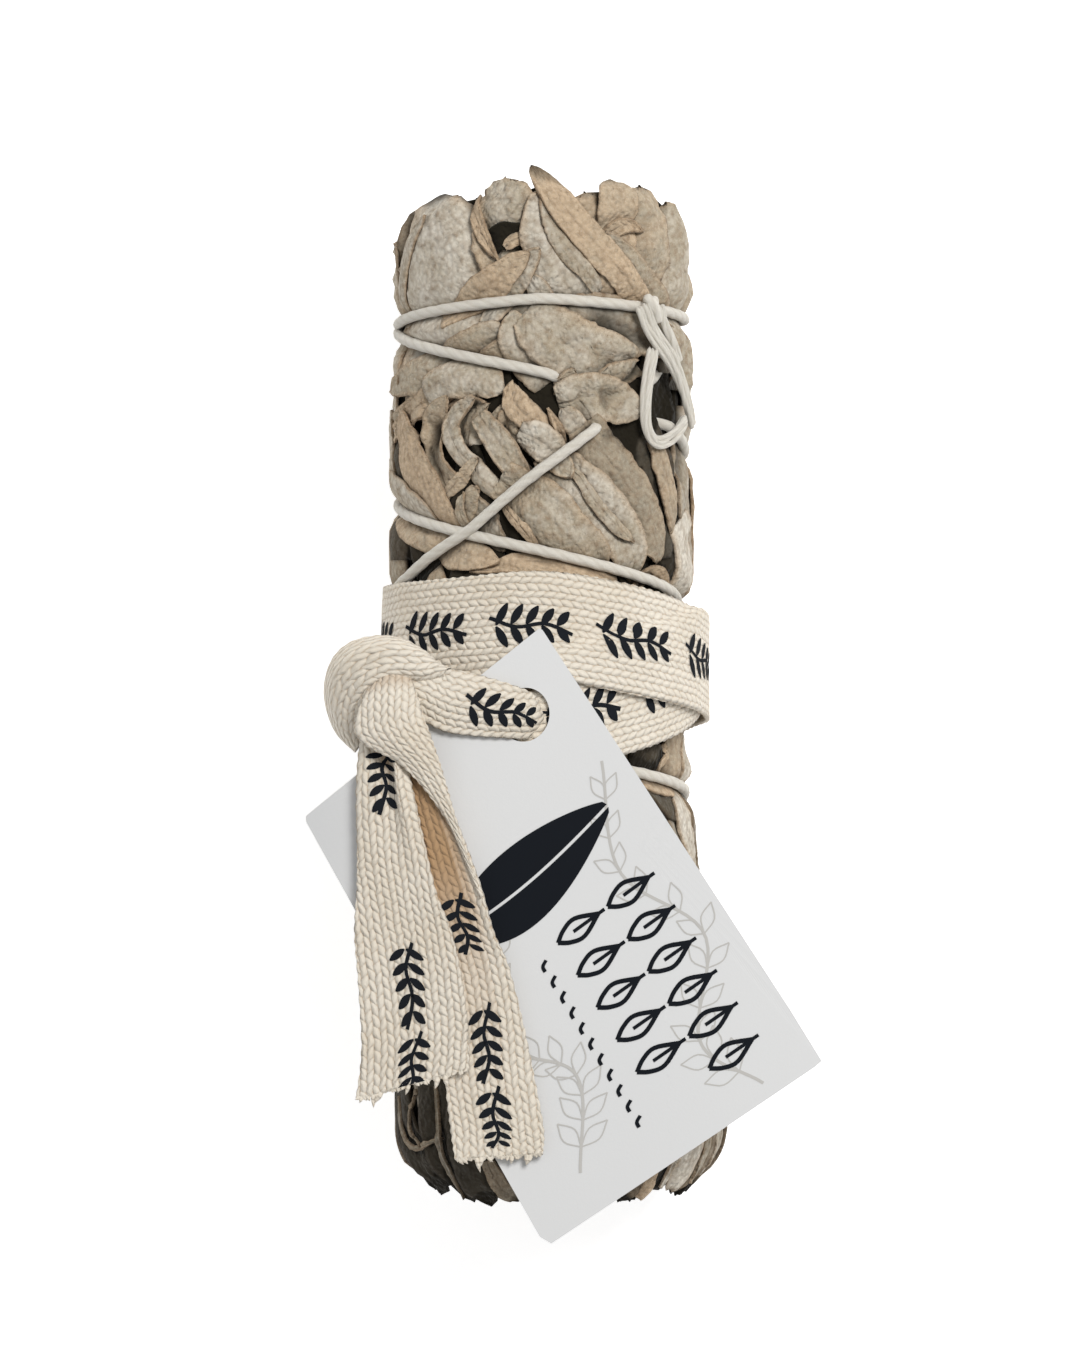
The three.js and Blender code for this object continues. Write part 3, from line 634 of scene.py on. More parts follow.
def layAll(heap):
    # Seeded leaves all round in rows, then the ones above.
    rows = [
        (58, 14, 1), (36, -6, 1), (12, -30, 1), (-8, -46, 1), (-26, -62, -1), (-40, -73, -1),
        (64, 26, 1), (44, 4, 1), (18, -22, 1), (-12, -50, -1), (-34, -72, -1),
        (68, 30, 1), (40, 2, 1), (14, -24, 1), (-14, -50, -1), (-38, -74, -1),
    ]
    for k, (high, low, way) in enumerate(rows):
        count = 12 if k < 6 else 13
        for i in range(count):
            turn = 360 * (i + 0.5 * (k % 2)) / count + rng.uniform(-9, 9)
            tilt = rng.gauss(0, 12)
            reach = rng.uniform(-5, 4)
            root, end = (low, high) if way > 0 else (high, low)
            stations = [root + (end - root + reach * way) * f for f in (0, 0.33, 0.67, 1)]
            angles = [turn + tilt * f + rng.uniform(-3, 3) for f in (0, 0.4, 0.75, 1)]
            lower = float(smooth(-2, -20, (high + low) / 2))
            facing = math.cos(math.radians(turn)) > 0.12 and high > 30
            if facing and (k > 1 or high > 60):
                continue
            if high > 60:
                stations = [min(v, 66 + rng.uniform(-2, 2)) for v in stations]
            stations = [max(v, -70.5 + rng.uniform(-1.5, 1.5)) for v in stations]
            # Rows laid first lie lowest and the facing rows lie under the hero leaves, so both are darkened as
            # painted shade. Leaves toward the cut end are darker as dried leaves and as painted shade.
            layLeaf(
                heap, list(zip(angles, stations)), rng.uniform(7, 12.5),
                tone=min(1, max(0, rng.gauss(0.38, 0.22))),
                roll=rng.choice((-1, 1)) * rng.uniform(0.3, 1.1),
                ridge=rng.choice((0, 0, 0.3)), crumple=rng.uniform(0.7, 1.5),
                dark=(0.4 if k < 6 else 0.1) + 0.4 * lower * (0.6 if k > 10 else 1) + (0.56 if facing else 0),
                shape=rng.uniform(0.4, 0.65),
                tip=0.72 if high > 60 or low < -60 else 0.9,
                cells=(12, 56) if facing else (10, 26),
            )
    for spec in heroLeaves:
        spec = dict(spec)
        spec["line"] = [seen(*p) for p in spec["line"]]
        layLeaf(heap, **spec)


def settle(heap):
    # Presses the heap under the twine and the tape, the same for every layer, so that none cross.
    floor = -3.4
    a = np.arange(heap.across) / heap.across * 2 * math.pi
    v = heap.low + (np.arange(heap.lengthwise) + 0.5) / heap.lengthwise * (heap.high - heap.low)
    angle, y = np.meshgrid(a, v, indexing="ij")
    near = nearTwine(angle, y)
    top = heap.height
    for _ in range(10):
        top = np.maximum(top * 0.98 + heap.height * 0.02,
                         (np.roll(top, 1, 0) + np.roll(top, -1, 0) + 2 * top) / 4)
        top[:, 1:-1] = np.maximum(top[:, 1:-1], (top[:, :-2] + top[:, 2:] + 2 * top[:, 1:-1]) / 4)
    cap = ceiling(near, y)
    card = cardUnder - 0.35 - axisHeight
    under = np.where((y < 11) & (np.cos(angle) > 0.6), card / np.maximum(np.cos(angle), 0.1) - radiusAt(y),
        9)
    cap = np.minimum(cap, under)
    squeeze = np.minimum(1, (cap - floor) / np.maximum(top - floor, 0.5))
    for _ in range(2):
        squeeze = np.minimum(squeeze, (np.roll(squeeze, 1, 0) + np.roll(squeeze, -1, 0) + 2 * squeeze) / 4)
    pressed = Heap(0.0)
    pressed.height = squeeze
    return floor, pressed


def leafMaterial():
    look = {
        "sage": (0.43, 0.375, 0.285), "pale": (0.70, 0.655, 0.57), "tan": (0.56, 0.43, 0.295),
        "brown": (0.20, 0.125, 0.07), "paintedDepthShade": (0.018, 0.015, 0.01),
    }
    n = Nodes("driedLeaf")
    where = n.add("ShaderNodeTexCoord").outputs["Object"]
    tone = n.attribute("tone").outputs["Fac"]
    dark = n.attribute("dark").outputs["Fac"]
    depth = n.attribute("depth").outputs["Fac"]
    edge = n.attribute("edge").outputs["Fac"]
    vein = n.attribute("vein").outputs["Fac"]
    patches = n.noise(where, 190, 4, 0.6)
    mottle = n.noise(where, 900, 3, 0.6)
    pebble = n.add("ShaderNodeTexVoronoi", {"Vector": where, "Scale": 1500.0, "Randomness": 1.0},
                   feature="SMOOTH_F1").outputs["Distance"]
    fuzz = n.noise(where, 5200, 2, 0.6)
    toned = n.math("ADD", tone, n.math("MULTIPLY", n.math("SUBTRACT", patches, 0.5), 0.9), clamp=True)
    toned = n.math("ADD", toned, n.math("MULTIPLY", n.math("SUBTRACT", mottle, 0.5), 0.25), clamp=True)
    color = n.ramp(toned, (0.0, look["pale"]), (0.35, look["sage"]), (0.75, look["tan"]),
        (1.0, look["tan"]))
    rim = n.math("MULTIPLY", n.ramp(edge, (0.6, 0.0), (0.95, 1.0)), n.math("ADD", patches, 0.1), clamp=True)
    color = n.mix(rim, color, (*look["tan"], 1))
    color = n.mix(n.math("MULTIPLY", n.ramp(edge, (0.9, 0.0), (1.0, 0.9)), mottle), color,
        (*look["brown"], 1))
    color = n.mix(n.math("MULTIPLY", vein, 0.28), color, (*look["brown"], 1))
    color = n.mix(n.math("MULTIPLY", n.ramp(mottle, (0.54, 0.0), (0.74, 1.0)), 0.5), color,
        (*look["brown"], 1))
    color = n.mix(n.math("MULTIPLY", n.ramp(pebble, (0.3, 0.0), (0.7, 1.0)), 0.38), color,
        (*look["brown"], 1))
    color = n.mix(n.math("MULTIPLY", n.ramp(fuzz, (0.5, 0.0), (0.8, 1.0)), 0.35), color, (*look["pale"], 1))
    grit = n.ramp(n.noise(where, 2500, 3, 0.7), (0.54, 0.0), (0.66, 1.0))
    grit = n.math("MULTIPLY", grit, n.math("MULTIPLY", n.ramp(edge, (0.3, 0.12), (1.0, 0.9)), patches))
    color = n.mix(grit, color, (0.07, 0.05, 0.03, 1))
    # painted shade: leaves marked dark and leaves lying under others or low in the heap go toward near black
    shade = n.math("ADD", n.math("MULTIPLY", dark, 1.0), n.ramp(depth, (0.12, 0.0), (0.75, 0.92)),
        clamp=True)
    color = n.mix(shade, color, (*look["paintedDepthShade"], 1))
    normal = n.bump(pebble, 0.00032, 0.9)
    normal = n.bump(n.math("MULTIPLY", vein, -1.0), 0.00022, 0.8, normal)
    normal = n.bump(mottle, 0.0003, 0.8, normal)
    normal = n.bump(fuzz, 0.00005, 0.6, normal)
    return n.finish(color, 0.92, normal, Sheen_Weight=0.06, Sheen_Roughness=0.5, Specular_IOR_Level=0.08)


def buildLeaves():
    heap = Heap(-3.2)
    layAll(heap)
    floor, pressed = settle(heap)
    groups = {
        "leaves_front_upper": Gather("leaves_front_upper"),
        "leaves_round_upper": Gather("leaves_round_upper"),
        "leaves_round_lower": Gather("leaves_round_lower"),
    }
    seededCount = len(made) - len(heroLeaves)
    for i, leaf in enumerate(made):
        angle, y, s, t = leaf["angle"], leaf["y"], leaf["s"], leaf["t"]
        k = pressed.at(angle, y)
        h = np.minimum(floor + (leaf["top"] - floor) * k, ceiling(nearTwine(angle, y), y) + 0.1)
        cover = floor + (heap.at(angle, y) - floor) * k
        r = radiusAt(y) + h - 2.6 * smooth(-63, -72, y)
        p = place(angle, r, y)
        name = "leaves_front_upper" if i >= seededCount else (
            "leaves_round_upper" if y.mean() > 0 else "leaves_round_lower")
        vein = veins(s, t, leaf["seed"])
        edge = np.maximum(np.abs(t)[None, :], smooth(0.9, 1.0, s)[:, None]) + 0 * s[:, None]
        # painted shade: how far a leaf lies under the leaves over it and under the heap's surface
        paintedDepthShade = np.clip((cover - h - 0.2) / 1.9, 0, 1) * 0.55 + np.clip((-0.8 - h) / 1.8, 0, 1) * 0.8
        uv = np.stack(np.broadcast_arrays(t[None, :] * 0.5 + 0.5, s[:, None]), axis=-1)
        groups[name].sheet(p, uv, thick=-leafLook["blade"], tone=leaf["tone"], dark=leaf["dark"],
                           depth=paintedDepthShade, edge=edge, vein=vein)
    material = leafMaterial()
    for g in groups.values():
        o = g.finish(material)
        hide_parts("sage_leaves")
    return material


def veins(s, t, seed):
    # A midrib and curved side veins, from 0 to 1.
    s2, t2 = s[:, None], t[None, :]
    rib = np.exp(-((t2 / 0.07) ** 2)) * (1 - 0.6 * s2)
    side = np.cos(2 * math.pi * (11 * s2 - 3.2 * np.abs(t2)) + seed)
    side = np.clip((side - 0.75) / 0.25, 0, 1) * 0.7 * (1 - np.abs(t2) ** 3)
    return np.maximum(rib, side)


def buildCore(material):
    # The inside of the heap, under the leaves, coloured near black as painted shade.
    rows, cols = 40, 73
    y = np.linspace(-63, 56, rows)[:, None] + np.zeros((1, cols))
    a = np.linspace(0, -2 * math.pi, cols)[None, :] + np.zeros((rows, 1))
    taper = 1 - 0.35 * smooth(46, 56, y) - 0.25 * smooth(52, 64, -y)
    r = (radiusAt(y) - 3.35) * taper
    g = Gather("leaf_core")
    g.sheet(place(a, r, y), tone=0.5, dark=0.75, depth=1.0, edge=0.0, vein=0.0)
    bmesh.ops.remove_doubles(g.bm, verts=g.bm.verts, dist=1e-6)
    bmesh.ops.holes_fill(g.bm, edges=[e for e in g.bm.edges if e.is_boundary], sides=0)
    o = g.finish(material)
    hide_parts("sage_leaves")


def buildEnds(material):
    # Upright leaf tips inside the crown and leaf ends inside the cut end.
    g = Gather("leaves_ends")
    for top in (True, False):
        count = 104 if top else 80
        for i in range(count):
            f = (i + 0.5) / count
            turn = 2.4 * i + rng.uniform(-0.3, 0.3)
            r = 2 + 16.2 * math.sqrt(f)
            rows, cols = 15, 9
            s, t = np.linspace(0, 1, rows)[:, None], np.linspace(-1, 1, cols)[None, :]
            if top:
                y0, y1 = 44, rng.uniform(59, 67)
            else:
                y0, y1 = -56, -rng.uniform(66, 71)
            half = rng.uniform(3.4, 6) * np.sqrt(1.001 - s**7) * (0.75 + 0.25 * np.sin(np.pi * s))
            seed = rng.uniform(0, 99)
            wav = fractal(t * 1.2 + s * 0 + seed, s * 3 + t * 0, s * 0 + t * 0 + seed)
            curl = rng.uniform(-2, 2)
            out = r + rng.uniform(-1, 1.5) * s + curl * t**2 + 1.4 * wav
            radial = np.array([math.sin(turn), 0, math.cos(turn)])
            side = np.array([math.cos(turn), 0, -math.sin(turn)])
            y = y0 + (y1 - y0) * (s - 0.12 * t**2 * s)
            p = np.stack([axisX(y), y, axisHeight + 0 * y], axis=-1)
            p = p + out[..., None] * radial + (half * t)[..., None] * side
            # they stay inside the outer leaves
            sideX, sideZ = p[..., 0] - axisX(y), p[..., 2] - axisHeight
            inward = np.minimum(1, (radiusAt(y) - 3.8) / np.hypot(sideX, sideZ))
            p[..., 0], p[..., 2] = axisX(y) + sideX * inward, axisHeight + sideZ * inward
            s1, t1 = s[:, 0], t[0]
            edge = np.maximum(np.abs(t1)[None, :], smooth(0.9, 1.0, s1)[:, None])
            # painted shade: each one darkens toward its root, deeper in the heap
            g.sheet(p, np.stack(np.broadcast_arrays(t * 0.5 + 0.5, s), axis=-1), thick=-leafLook["blade"],
                    tone=min(1, max(0, rng.gauss(0.45, 0.25))), dark=0.1, depth=(1 - s) * 0.9 + 0 * t,
                    edge=edge, vein=veins(s1, t1, seed))
    o = g.finish(material)
    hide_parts("sage_leaves")


def at3(px, py, z):
    # The point in mm at height z that shows at a point of the camera's image.
    k = (eye[2] - z) / (eye[2] - axisHeight)
    x, y = (px - 545) / 7, (690 - py) / 7
    return (eye[0] + (x - eye[0]) * k, eye[1] + (y - eye[1]) * k, z)


# Twine: three strands laid together, so its section has three soft lobes that turn along it.
twineLook = {"radius": 0.77, "lobe": 0.03, "pitch": 7.5, "color": (0.79, 0.755, 0.68),
    "shade": (0.48, 0.41, 0.31)}


def routePoints(route, height, spans):
    points = []
    for (a0, y0), (a1, y1) in zip(route, route[1:]):
        steps = max(1, int(math.hypot(math.radians(a1 - a0) * topRadius, y1 - y0) / 0.6))
        f = np.arange(steps) / steps
        a, y = np.radians(a0 + (a1 - a0) * f), y0 + (y1 - y0) * f
        points.append(np.stack([a, y], axis=-1))
    ay = np.vstack(points)
    kernel = np.hanning(13) / np.hanning(13).sum()
    ay = np.stack([
        np.convolve(np.pad(c, 6, mode="reflect", reflect_type="odd"), kernel, "valid") for c in ay.T
    ], axis=-1)
    seat = radiusAt(ay[:, 1]) - 0.9 - 1.5 * underTape(ay[:, 1]) - 2.6 * buried(np.degrees(ay[:, 0]), spans)
    return place(ay[:, 0], seat + height, ay[:, 1])


def cord(g, line, radius, cols=12, lobe=None, pitch=None, ends=True):
    # A closed tube in mm along dense points; radius is one number or one for each point.
    lobe = twineLook["lobe"] if lobe is None else lobe
    pitch = twineLook["pitch"] if pitch is None else pitch
    n = len(line)
    go = unit(np.gradient(line, axis=0))
    out = unit(line - np.stack([axisX(line[:, 1]), line[:, 1], 0 * line[:, 1] + axisHeight], axis=-1))
    out = unit(out - (out * go).sum(-1, keepdims=True) * go)
    side = np.cross(go, out)
    run = np.concatenate([[0], np.cumsum(np.linalg.norm(np.diff(line, axis=0), axis=1))])
    theta = np.linspace(0, 2 * np.pi, cols + 1)[None, :]
    lobes = np.cos(3 * (theta - 2 * np.pi * run[:, None] / pitch))
    r = np.broadcast_to(radius, (n,))[:, None] * (1 + lobe * lobes)
    r = r * (1 + 0.03 * np.sin(run[:, None] * 1.7 + theta))
    if ends:
        r[0] = r[-1] = 0.02
        r[1] *= 0.7
        r[-2] *= 0.7
    p = line[:, None] + (np.cos(theta) * r)[..., None] * out[:, None]
    p = p + (np.sin(theta) * r)[..., None] * side[:, None]
    uv = np.stack(np.broadcast_arrays(theta / (2 * np.pi), run[:, None]), axis=-1)
    verts = g.sheet(p[:, ::-1], uv[:, ::-1])
    return verts


def twineMaterial():
    n = Nodes("cottonTwine")
    where = n.add("ShaderNodeTexCoord").outputs["Object"]
    uv = n.add("ShaderNodeSeparateXYZ", {0: n.add("ShaderNodeUVMap", uv_map="UVMap").outputs[0]})
    # the strands run round the twine as they run along it
    turn = n.math("SUBTRACT", n.math("MULTIPLY", uv.outputs[0], 3.0),
        n.math("MULTIPLY", uv.outputs[1], 3 / twineLook["pitch"]))
    strand = n.math("COSINE", n.math("MULTIPLY", turn, 2 * math.pi))
    fiberAt = n.add("ShaderNodeCombineXYZ", {0: n.math("MULTIPLY", turn, 9.0),
        1: n.math("MULTIPLY", uv.outputs[1], 0.5)})
    fiber = n.noise(fiberAt.outputs[0], 2.4, 3, 0.6)
    fuzz = n.noise(where, 6500, 2, 0.6)
    valley = n.ramp(n.math("MULTIPLY", n.math("ADD", strand, 1.0), 0.5), (0.0, 1.0), (0.45, 0.0))
    color = n.mix(n.math("MULTIPLY", valley, 0.2), (*twineLook["color"], 1), (*twineLook["shade"], 1))
    color = n.mix(n.math("MULTIPLY", n.ramp(fiber, (0.45, 0.0), (0.75, 1.0)), 0.3), color,
        (*twineLook["shade"], 1))
    normal = n.bump(strand, 0.0001, 0.3)
    normal = n.bump(fiber, 0.00012, 0.8, normal)
    normal = n.bump(fuzz, 0.00018, 0.9, normal)
    return n.finish(color, 0.95, normal, Sheen_Weight=0.3, Sheen_Roughness=0.5, Specular_IOR_Level=0.1)


def closeSeams(g, distance=1e-6):
    bmesh.ops.remove_doubles(g.bm, verts=g.bm.verts, dist=distance)
    bmesh.ops.holes_fill(g.bm, edges=[e for e in g.bm.edges if e.is_boundary], sides=0)
    bmesh.ops.recalc_face_normals(g.bm, faces=g.bm.faces)


def buildTwine():
    g = Gather("twine_winding")
    cord(g, routePoints(twineDown, 0.0, coveredDown), twineLook["radius"])
    cord(g, routePoints(crossing, 0.85, coveredCrossing), twineLook["radius"])
    # the knot: two short turns over each other
    a0, y0 = seen(646, 309)
    for k, (tilt, lift) in enumerate(((0.5, 0.2), (-0.6, 0.9))):
        f = np.linspace(-1, 1, 26)
        a = math.radians(a0) + 0.07 * f * math.cos(tilt)
        y = y0 + 1.6 * f * math.sin(tilt) * 2
        line = place(a, radiusAt(y) - 0.4 + lift + 0.9 * (1 - f**2), y)
        cord(g, line, 0.72)
    closeSeams(g)
    # the loose end comes apart into soft yarns that lie side by side: image points, yarns, width at both ends
    loose = (
        ([(635, 305), (646, 331), (667, 366), (678, 401), (683, 427)], 6, 2.7, 1.3),
        ([(652, 306), (660, 330), (671, 362)], 3, 1.3, 0.9),
        ([(646, 348), (641, 392), (641, 427), (649, 443), (662, 438), (677, 418)], 4, 1.5, 1.5),
    )
    n = 90
    f = np.linspace(0, 1, n)
    for line, count, first, last in loose:
        ay = [seen(*p) for p in line]
        at, go = bend([(math.radians(a), y) for a, y in ay], n)
        way = unit(np.stack([go[:, 0] * topRadius, go[:, 1]], axis=-1))
        for k in range(count):
            off = ((k + 0.5) / count - 0.5) * (first + (last - first) * f) + 0.18 * np.sin(8 * f + 2.3 * k)
            a, y = at[:, 0] + off * way[:, 1] / topRadius, at[:, 1] - off * way[:, 0]
            up = 0.95 + 0.2 * np.cos(7 * f + 2.4 * k)
            cord(g, place(a, radiusAt(y) + up, y), 0.38, cols=8, lobe=0.0)
    closeSeams(g)
    o = g.finish(twineMaterial())
    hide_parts("cotton_twine")


# Tape: one woven tape in the order band, folded strip, hood and two tails.
tapeLook = {
    "thick": 0.7, "color": (0.82, 0.76, 0.66), "shade": (0.56, 0.40, 0.24), "inside": (0.45, 0.29, 0.16),
    "ink": (0.012, 0.014, 0.018), "stitchAcross": 0.98, "stitchAlong": 1.5,
}
tapeRoute = [(-8, -4.5), (31, -1.3), (90, 4.3), (180, 6), (270, 6.7), (360, 9.5), (450, 3), (540, -3),
    (610, -3),
             (668, -2)]


def routeAt(deg):
    xs, ys = zip(*tapeRoute)
    return np.interp(deg, xs, ys)


def cardTop(x):
    x = np.asarray(x, float)
    return (cardUnder + cardThick - 6 * (np.maximum(0, -11 - x) / 22) ** 2
            - 1.4 * (np.maximum(0, x - 14) / 24) ** 2)


class Ribbon:
    # A strip of tape with its surface kept, so that print can be laid on it.

    def __init__(self, center, run, t, up):
        self.points, self.run, self.t, self.up = center, run, t, up

    def at(self, row, t, lift):
        # Points lift mm over the surface at rows (as fractions of the rows) and places across.
        row, t = np.broadcast_arrays(row, t)
        i = np.clip(row, 0, len(self.run) - 1.001)
        j = np.clip(np.interp(t, self.t, np.arange(len(self.t))), 0, len(self.t) - 1.001)
        a, b = i.astype(int), j.astype(int)
        fa, fb = (i - a)[..., None], (j - b)[..., None]
        mixed = []
        for grid in (self.points, self.up):
            mixed.append((grid[a, b] * (1 - fb) + grid[a, b + 1] * fb) * (1 - fa)
                         + (grid[a + 1, b] * (1 - fb) + grid[a + 1, b + 1] * fb) * fa)
        return mixed[0] + unit(mixed[1]) * lift


def tapeSheet(g, points, solid=True, paintedShade=0.0):
    # Adds rows of tape points, its top face first; UV is mm along it and mm across it. The shade amount is painted
    # shade, stored in depth.
    middle = points[:, points.shape[1] // 2]
    run = np.concatenate([[0], np.cumsum(np.linalg.norm(np.diff(middle, axis=0), axis=1))])
    wide = np.linalg.norm(np.diff(points, axis=1), axis=-1)
    width = np.concatenate([np.zeros((len(points), 1)), np.cumsum(wide, axis=1)], axis=1)
    width = width - width[:, -1:] / 2
    uv = np.stack(np.broadcast_arrays(run[:, None], width), axis=-1)
    along, over = np.gradient(points, axis=0), np.gradient(points, axis=1)
    up = unit(np.cross(over, along))
    t = np.linspace(-1, 1, points.shape[1])
    g.sheet(points, uv, thick=tapeLook["thick"] if solid else 0, depth=paintedShade,
        edge=np.abs(t)[None, :] + 0 * run[:, None])
    return Ribbon(points, run, t, up)


def at3s(points):
    return [at3(px, py, z) for px, py, z in points]


def onCard(px, py, up):
    # The point up mm over the card that shows at a point of the camera's image.
    x, y, _ = at3(px, py, cardUnder + cardThick)
    return (x, y, float(cardTop(x)) + up)


def between(g, left, right, rows, cols, profile, paintedShade=None, closed=0.0):
    # A strip between two edges; profile(s, t) lifts it, and the optional shade function gives painted shade over it.
    # A closed one is a flat tube closed mm deep.
    a, _ = bend(left, rows)
    b, _ = bend(right, rows)
    flip = 1
    if np.cross(b - a, np.gradient((a + b) / 2, axis=0))[:, 2].sum() < 0:
        a, b, flip = b, a, -1
    middle = unit(np.gradient((a + b) / 2, axis=0))
    side = unit(b - a - ((b - a) * middle).sum(-1, keepdims=True) * middle)
    up = np.cross(side, middle)
    s = np.linspace(0, 1, rows)[:, None]
    if closed:
        theta = np.linspace(np.pi, -np.pi, cols)[None, :]
        t, lift = np.cos(theta), np.sin(theta)
        h = np.where(lift > 0, lift * profile(s, flip * t), lift * closed * np.sin(np.pi * (0.1 + 0.8 * s)))
    else:
        t = np.linspace(-1, 1, cols)[None, :]
        h = profile(s, flip * t) + tapeLook["thick"]
    u = (t + 1) / 2
    p = a[:, None] * (1 - u[..., None]) + b[:, None] * u[..., None] + h[..., None] * up[:, None]
    p = p + np.stack([0.07 * np.sin(s * rows * 1.1) * np.abs(t) ** 8] * 3, axis=-1) * side[:, None]
    ribbon = tapeSheet(g, p, solid=not closed, paintedShade=0.0 if paintedShade is None else paintedShade(s, flip * t))
    if closed:
        top = cols // 2 + 1
        ribbon = Ribbon(p[:, :top], ribbon.run, t[0, :top], ribbon.up[:, :top])
    return ribbon


def buildTape():
    g = Gather("tape_woven")
    rows, cols = 560, 21
    start, end = tapeRoute[0][0], tapeRoute[-1][0]
    deg = np.linspace(start, end, rows)[:, None]
    t = np.linspace(1, -1, cols)[None, :]
    center = routeAt(deg)
    kernel = np.hanning(41) / np.hanning(41).sum()
    center = np.convolve(np.pad(center[:, 0], 20, mode="edge"), kernel, "valid")[:, None]
    half = 7.5 * (0.5 + 0.5 * smooth(-8, 31, deg)) * (1 - 0.3 * smooth(640, 668, deg))
    half = half + 0.1 * np.sin(np.radians(deg) * 95) * np.abs(t) ** 4 + 0.25 * np.sin(np.radians(deg) * 3)
    y = center + t * half
    under = np.abs(y - np.interp(deg - 360, deg[:, 0], center[:, 0]))
    stacked = np.where(deg > 352, smooth(10.2, 8.6, under), 0)
    inner = bandRadius - 1.15 - 0.9
    sag = 0.25 * np.abs(t) ** 3 * (1 - stacked)
    r = inner + 1.15 * stacked + smooth(31, -8, deg) * 1.0 + 2.0 - sag
    r = r + 0.12 * fractal(np.radians(deg) * 2 + 0 * t, y * 0.15, 0 * y)
    band = tapeSheet(g, place(np.radians(deg), r, y))

    # from the knot into the tag's hole
    folded = between(
        g,
        at3s([(400, 664, 46.0), (432, 667, 47.3), (456, 670, 47.6), (485, 676.5, 47.6),
            (514.7, 685.5, 47.3),
              (534, 694, 46.4), (542, 706, 44.6)]),
        at3s([(400, 712, 46.0), (421, 720, 47.3), (444, 731.6, 47.4), (470.7, 736, 47.2), (500, 738, 47.0),
              (527, 739, 46.2), (538, 732, 44.4)]),
        90, 21, lambda s, t: 0.9 * (1 - t**2) + 0.12 * np.sin(9 * s + 3 * t), closed=0.7)
    # the hood: the knot's loop that goes over the tails and round to the left
    between(
        g,
        at3s([(356, 752, 38), (337, 728, 37.5), (328.5, 694, 38), (334, 663, 39.5), (350, 644, 42),
            (377, 636, 44),
              (403, 639, 45.0), (424, 650, 45.8), (439, 663, 46.5), (452, 670, 47.4)]),
        at3s([(364, 738, 40), (362, 722, 42.5), (364, 706, 44.5), (370, 696, 45.8), (380, 687.5, 46.5),
            (396, 681, 46.8),
              (410, 681, 47), (422, 682, 47.3), (432, 680.5, 47.6), (444, 677, 47.9)]),
        120, 33, lambda s, t: 3.1 * np.sin(np.pi * (0.1 + 0.8 * s)) + 0.3 * np.sin(5 * t + 5 * s) * np.sin(np.pi * s),
        closed=2.6)
    # the knot's inside, under the hood, and the band's end that rises into it
    between(
        g,
        at3s([(350, 690, 33), (352, 672, 37), (376, 660, 42), (404, 662, 44.5), (424, 680, 44.5),
            (426, 704, 42.5),
              (404, 728, 39.5)]),
        at3s([(356, 742, 33), (362, 735, 38), (382, 722, 42), (392, 716, 43.8), (398, 712, 44),
            (400, 716, 42),
              (380, 738, 39.5)]),
        90, 25, lambda s, t: 2.0 + 0 * s, closed=2.4)
    between(
        g,
        [tuple(place(math.radians(-70), 22.4, 3.0)), tuple(place(math.radians(-58), 23.4, 2.5)),
            at3(352, 668, 36),
         at3(372, 664, 41)],
        [tuple(place(math.radians(-70), 22.4, -8.5)), tuple(place(math.radians(-58), 23.2, -7)),
            at3(357, 735, 36),
         at3(380, 722, 41)],
        60, 25, lambda s, t: 0.7 + 0.5 * np.cos(4.5 * t) * s, closed=0.9)

    # the left tail, with a fold along its upper part and painted shade in the fold's valley near the knot
    left = between(
        g,
        [at3(364, 726, 44.2), at3(360, 750, 44.6), onCard(357.7, 795, 1.3), onCard(358.5, 853, 1.3),
            onCard(358, 890, 1.3),
         onCard(355.5, 933, 1.3), onCard(359, 984, 1.3), onCard(362, 1050, 1.2), onCard(356.5, 1100, 1.4)],
        [at3(398, 740, 45.2), at3(408, 762, 46.4), onCard(415, 790, 2.1), onCard(425, 840, 2.0),
            onCard(437, 893, 1.9),
         onCard(452, 931, 1.8), onCard(462.7, 980, 1.7), onCard(469, 1030, 1.6), onCard(470, 1068, 1.9)],
        170, 33,
        lambda s, t: (1.7 * np.exp(-(((t - 0.62) / 0.2) ** 2)) - 0.7 * np.exp(-(((t - 0.12) / 0.26) ** 2))
                      + 0.7 * np.exp(-(((t + 0.6) / 0.3) ** 2))) * (1 - smooth(0.12, 0.5, s))
        + 0.2 * np.sin(7 * s + 2 * t) * s,
        paintedShade=lambda s, t: 0.95 * np.exp(-(((t - 0.12) / 0.3) ** 2)) * (1 - smooth(0.08, 0.3, s)))
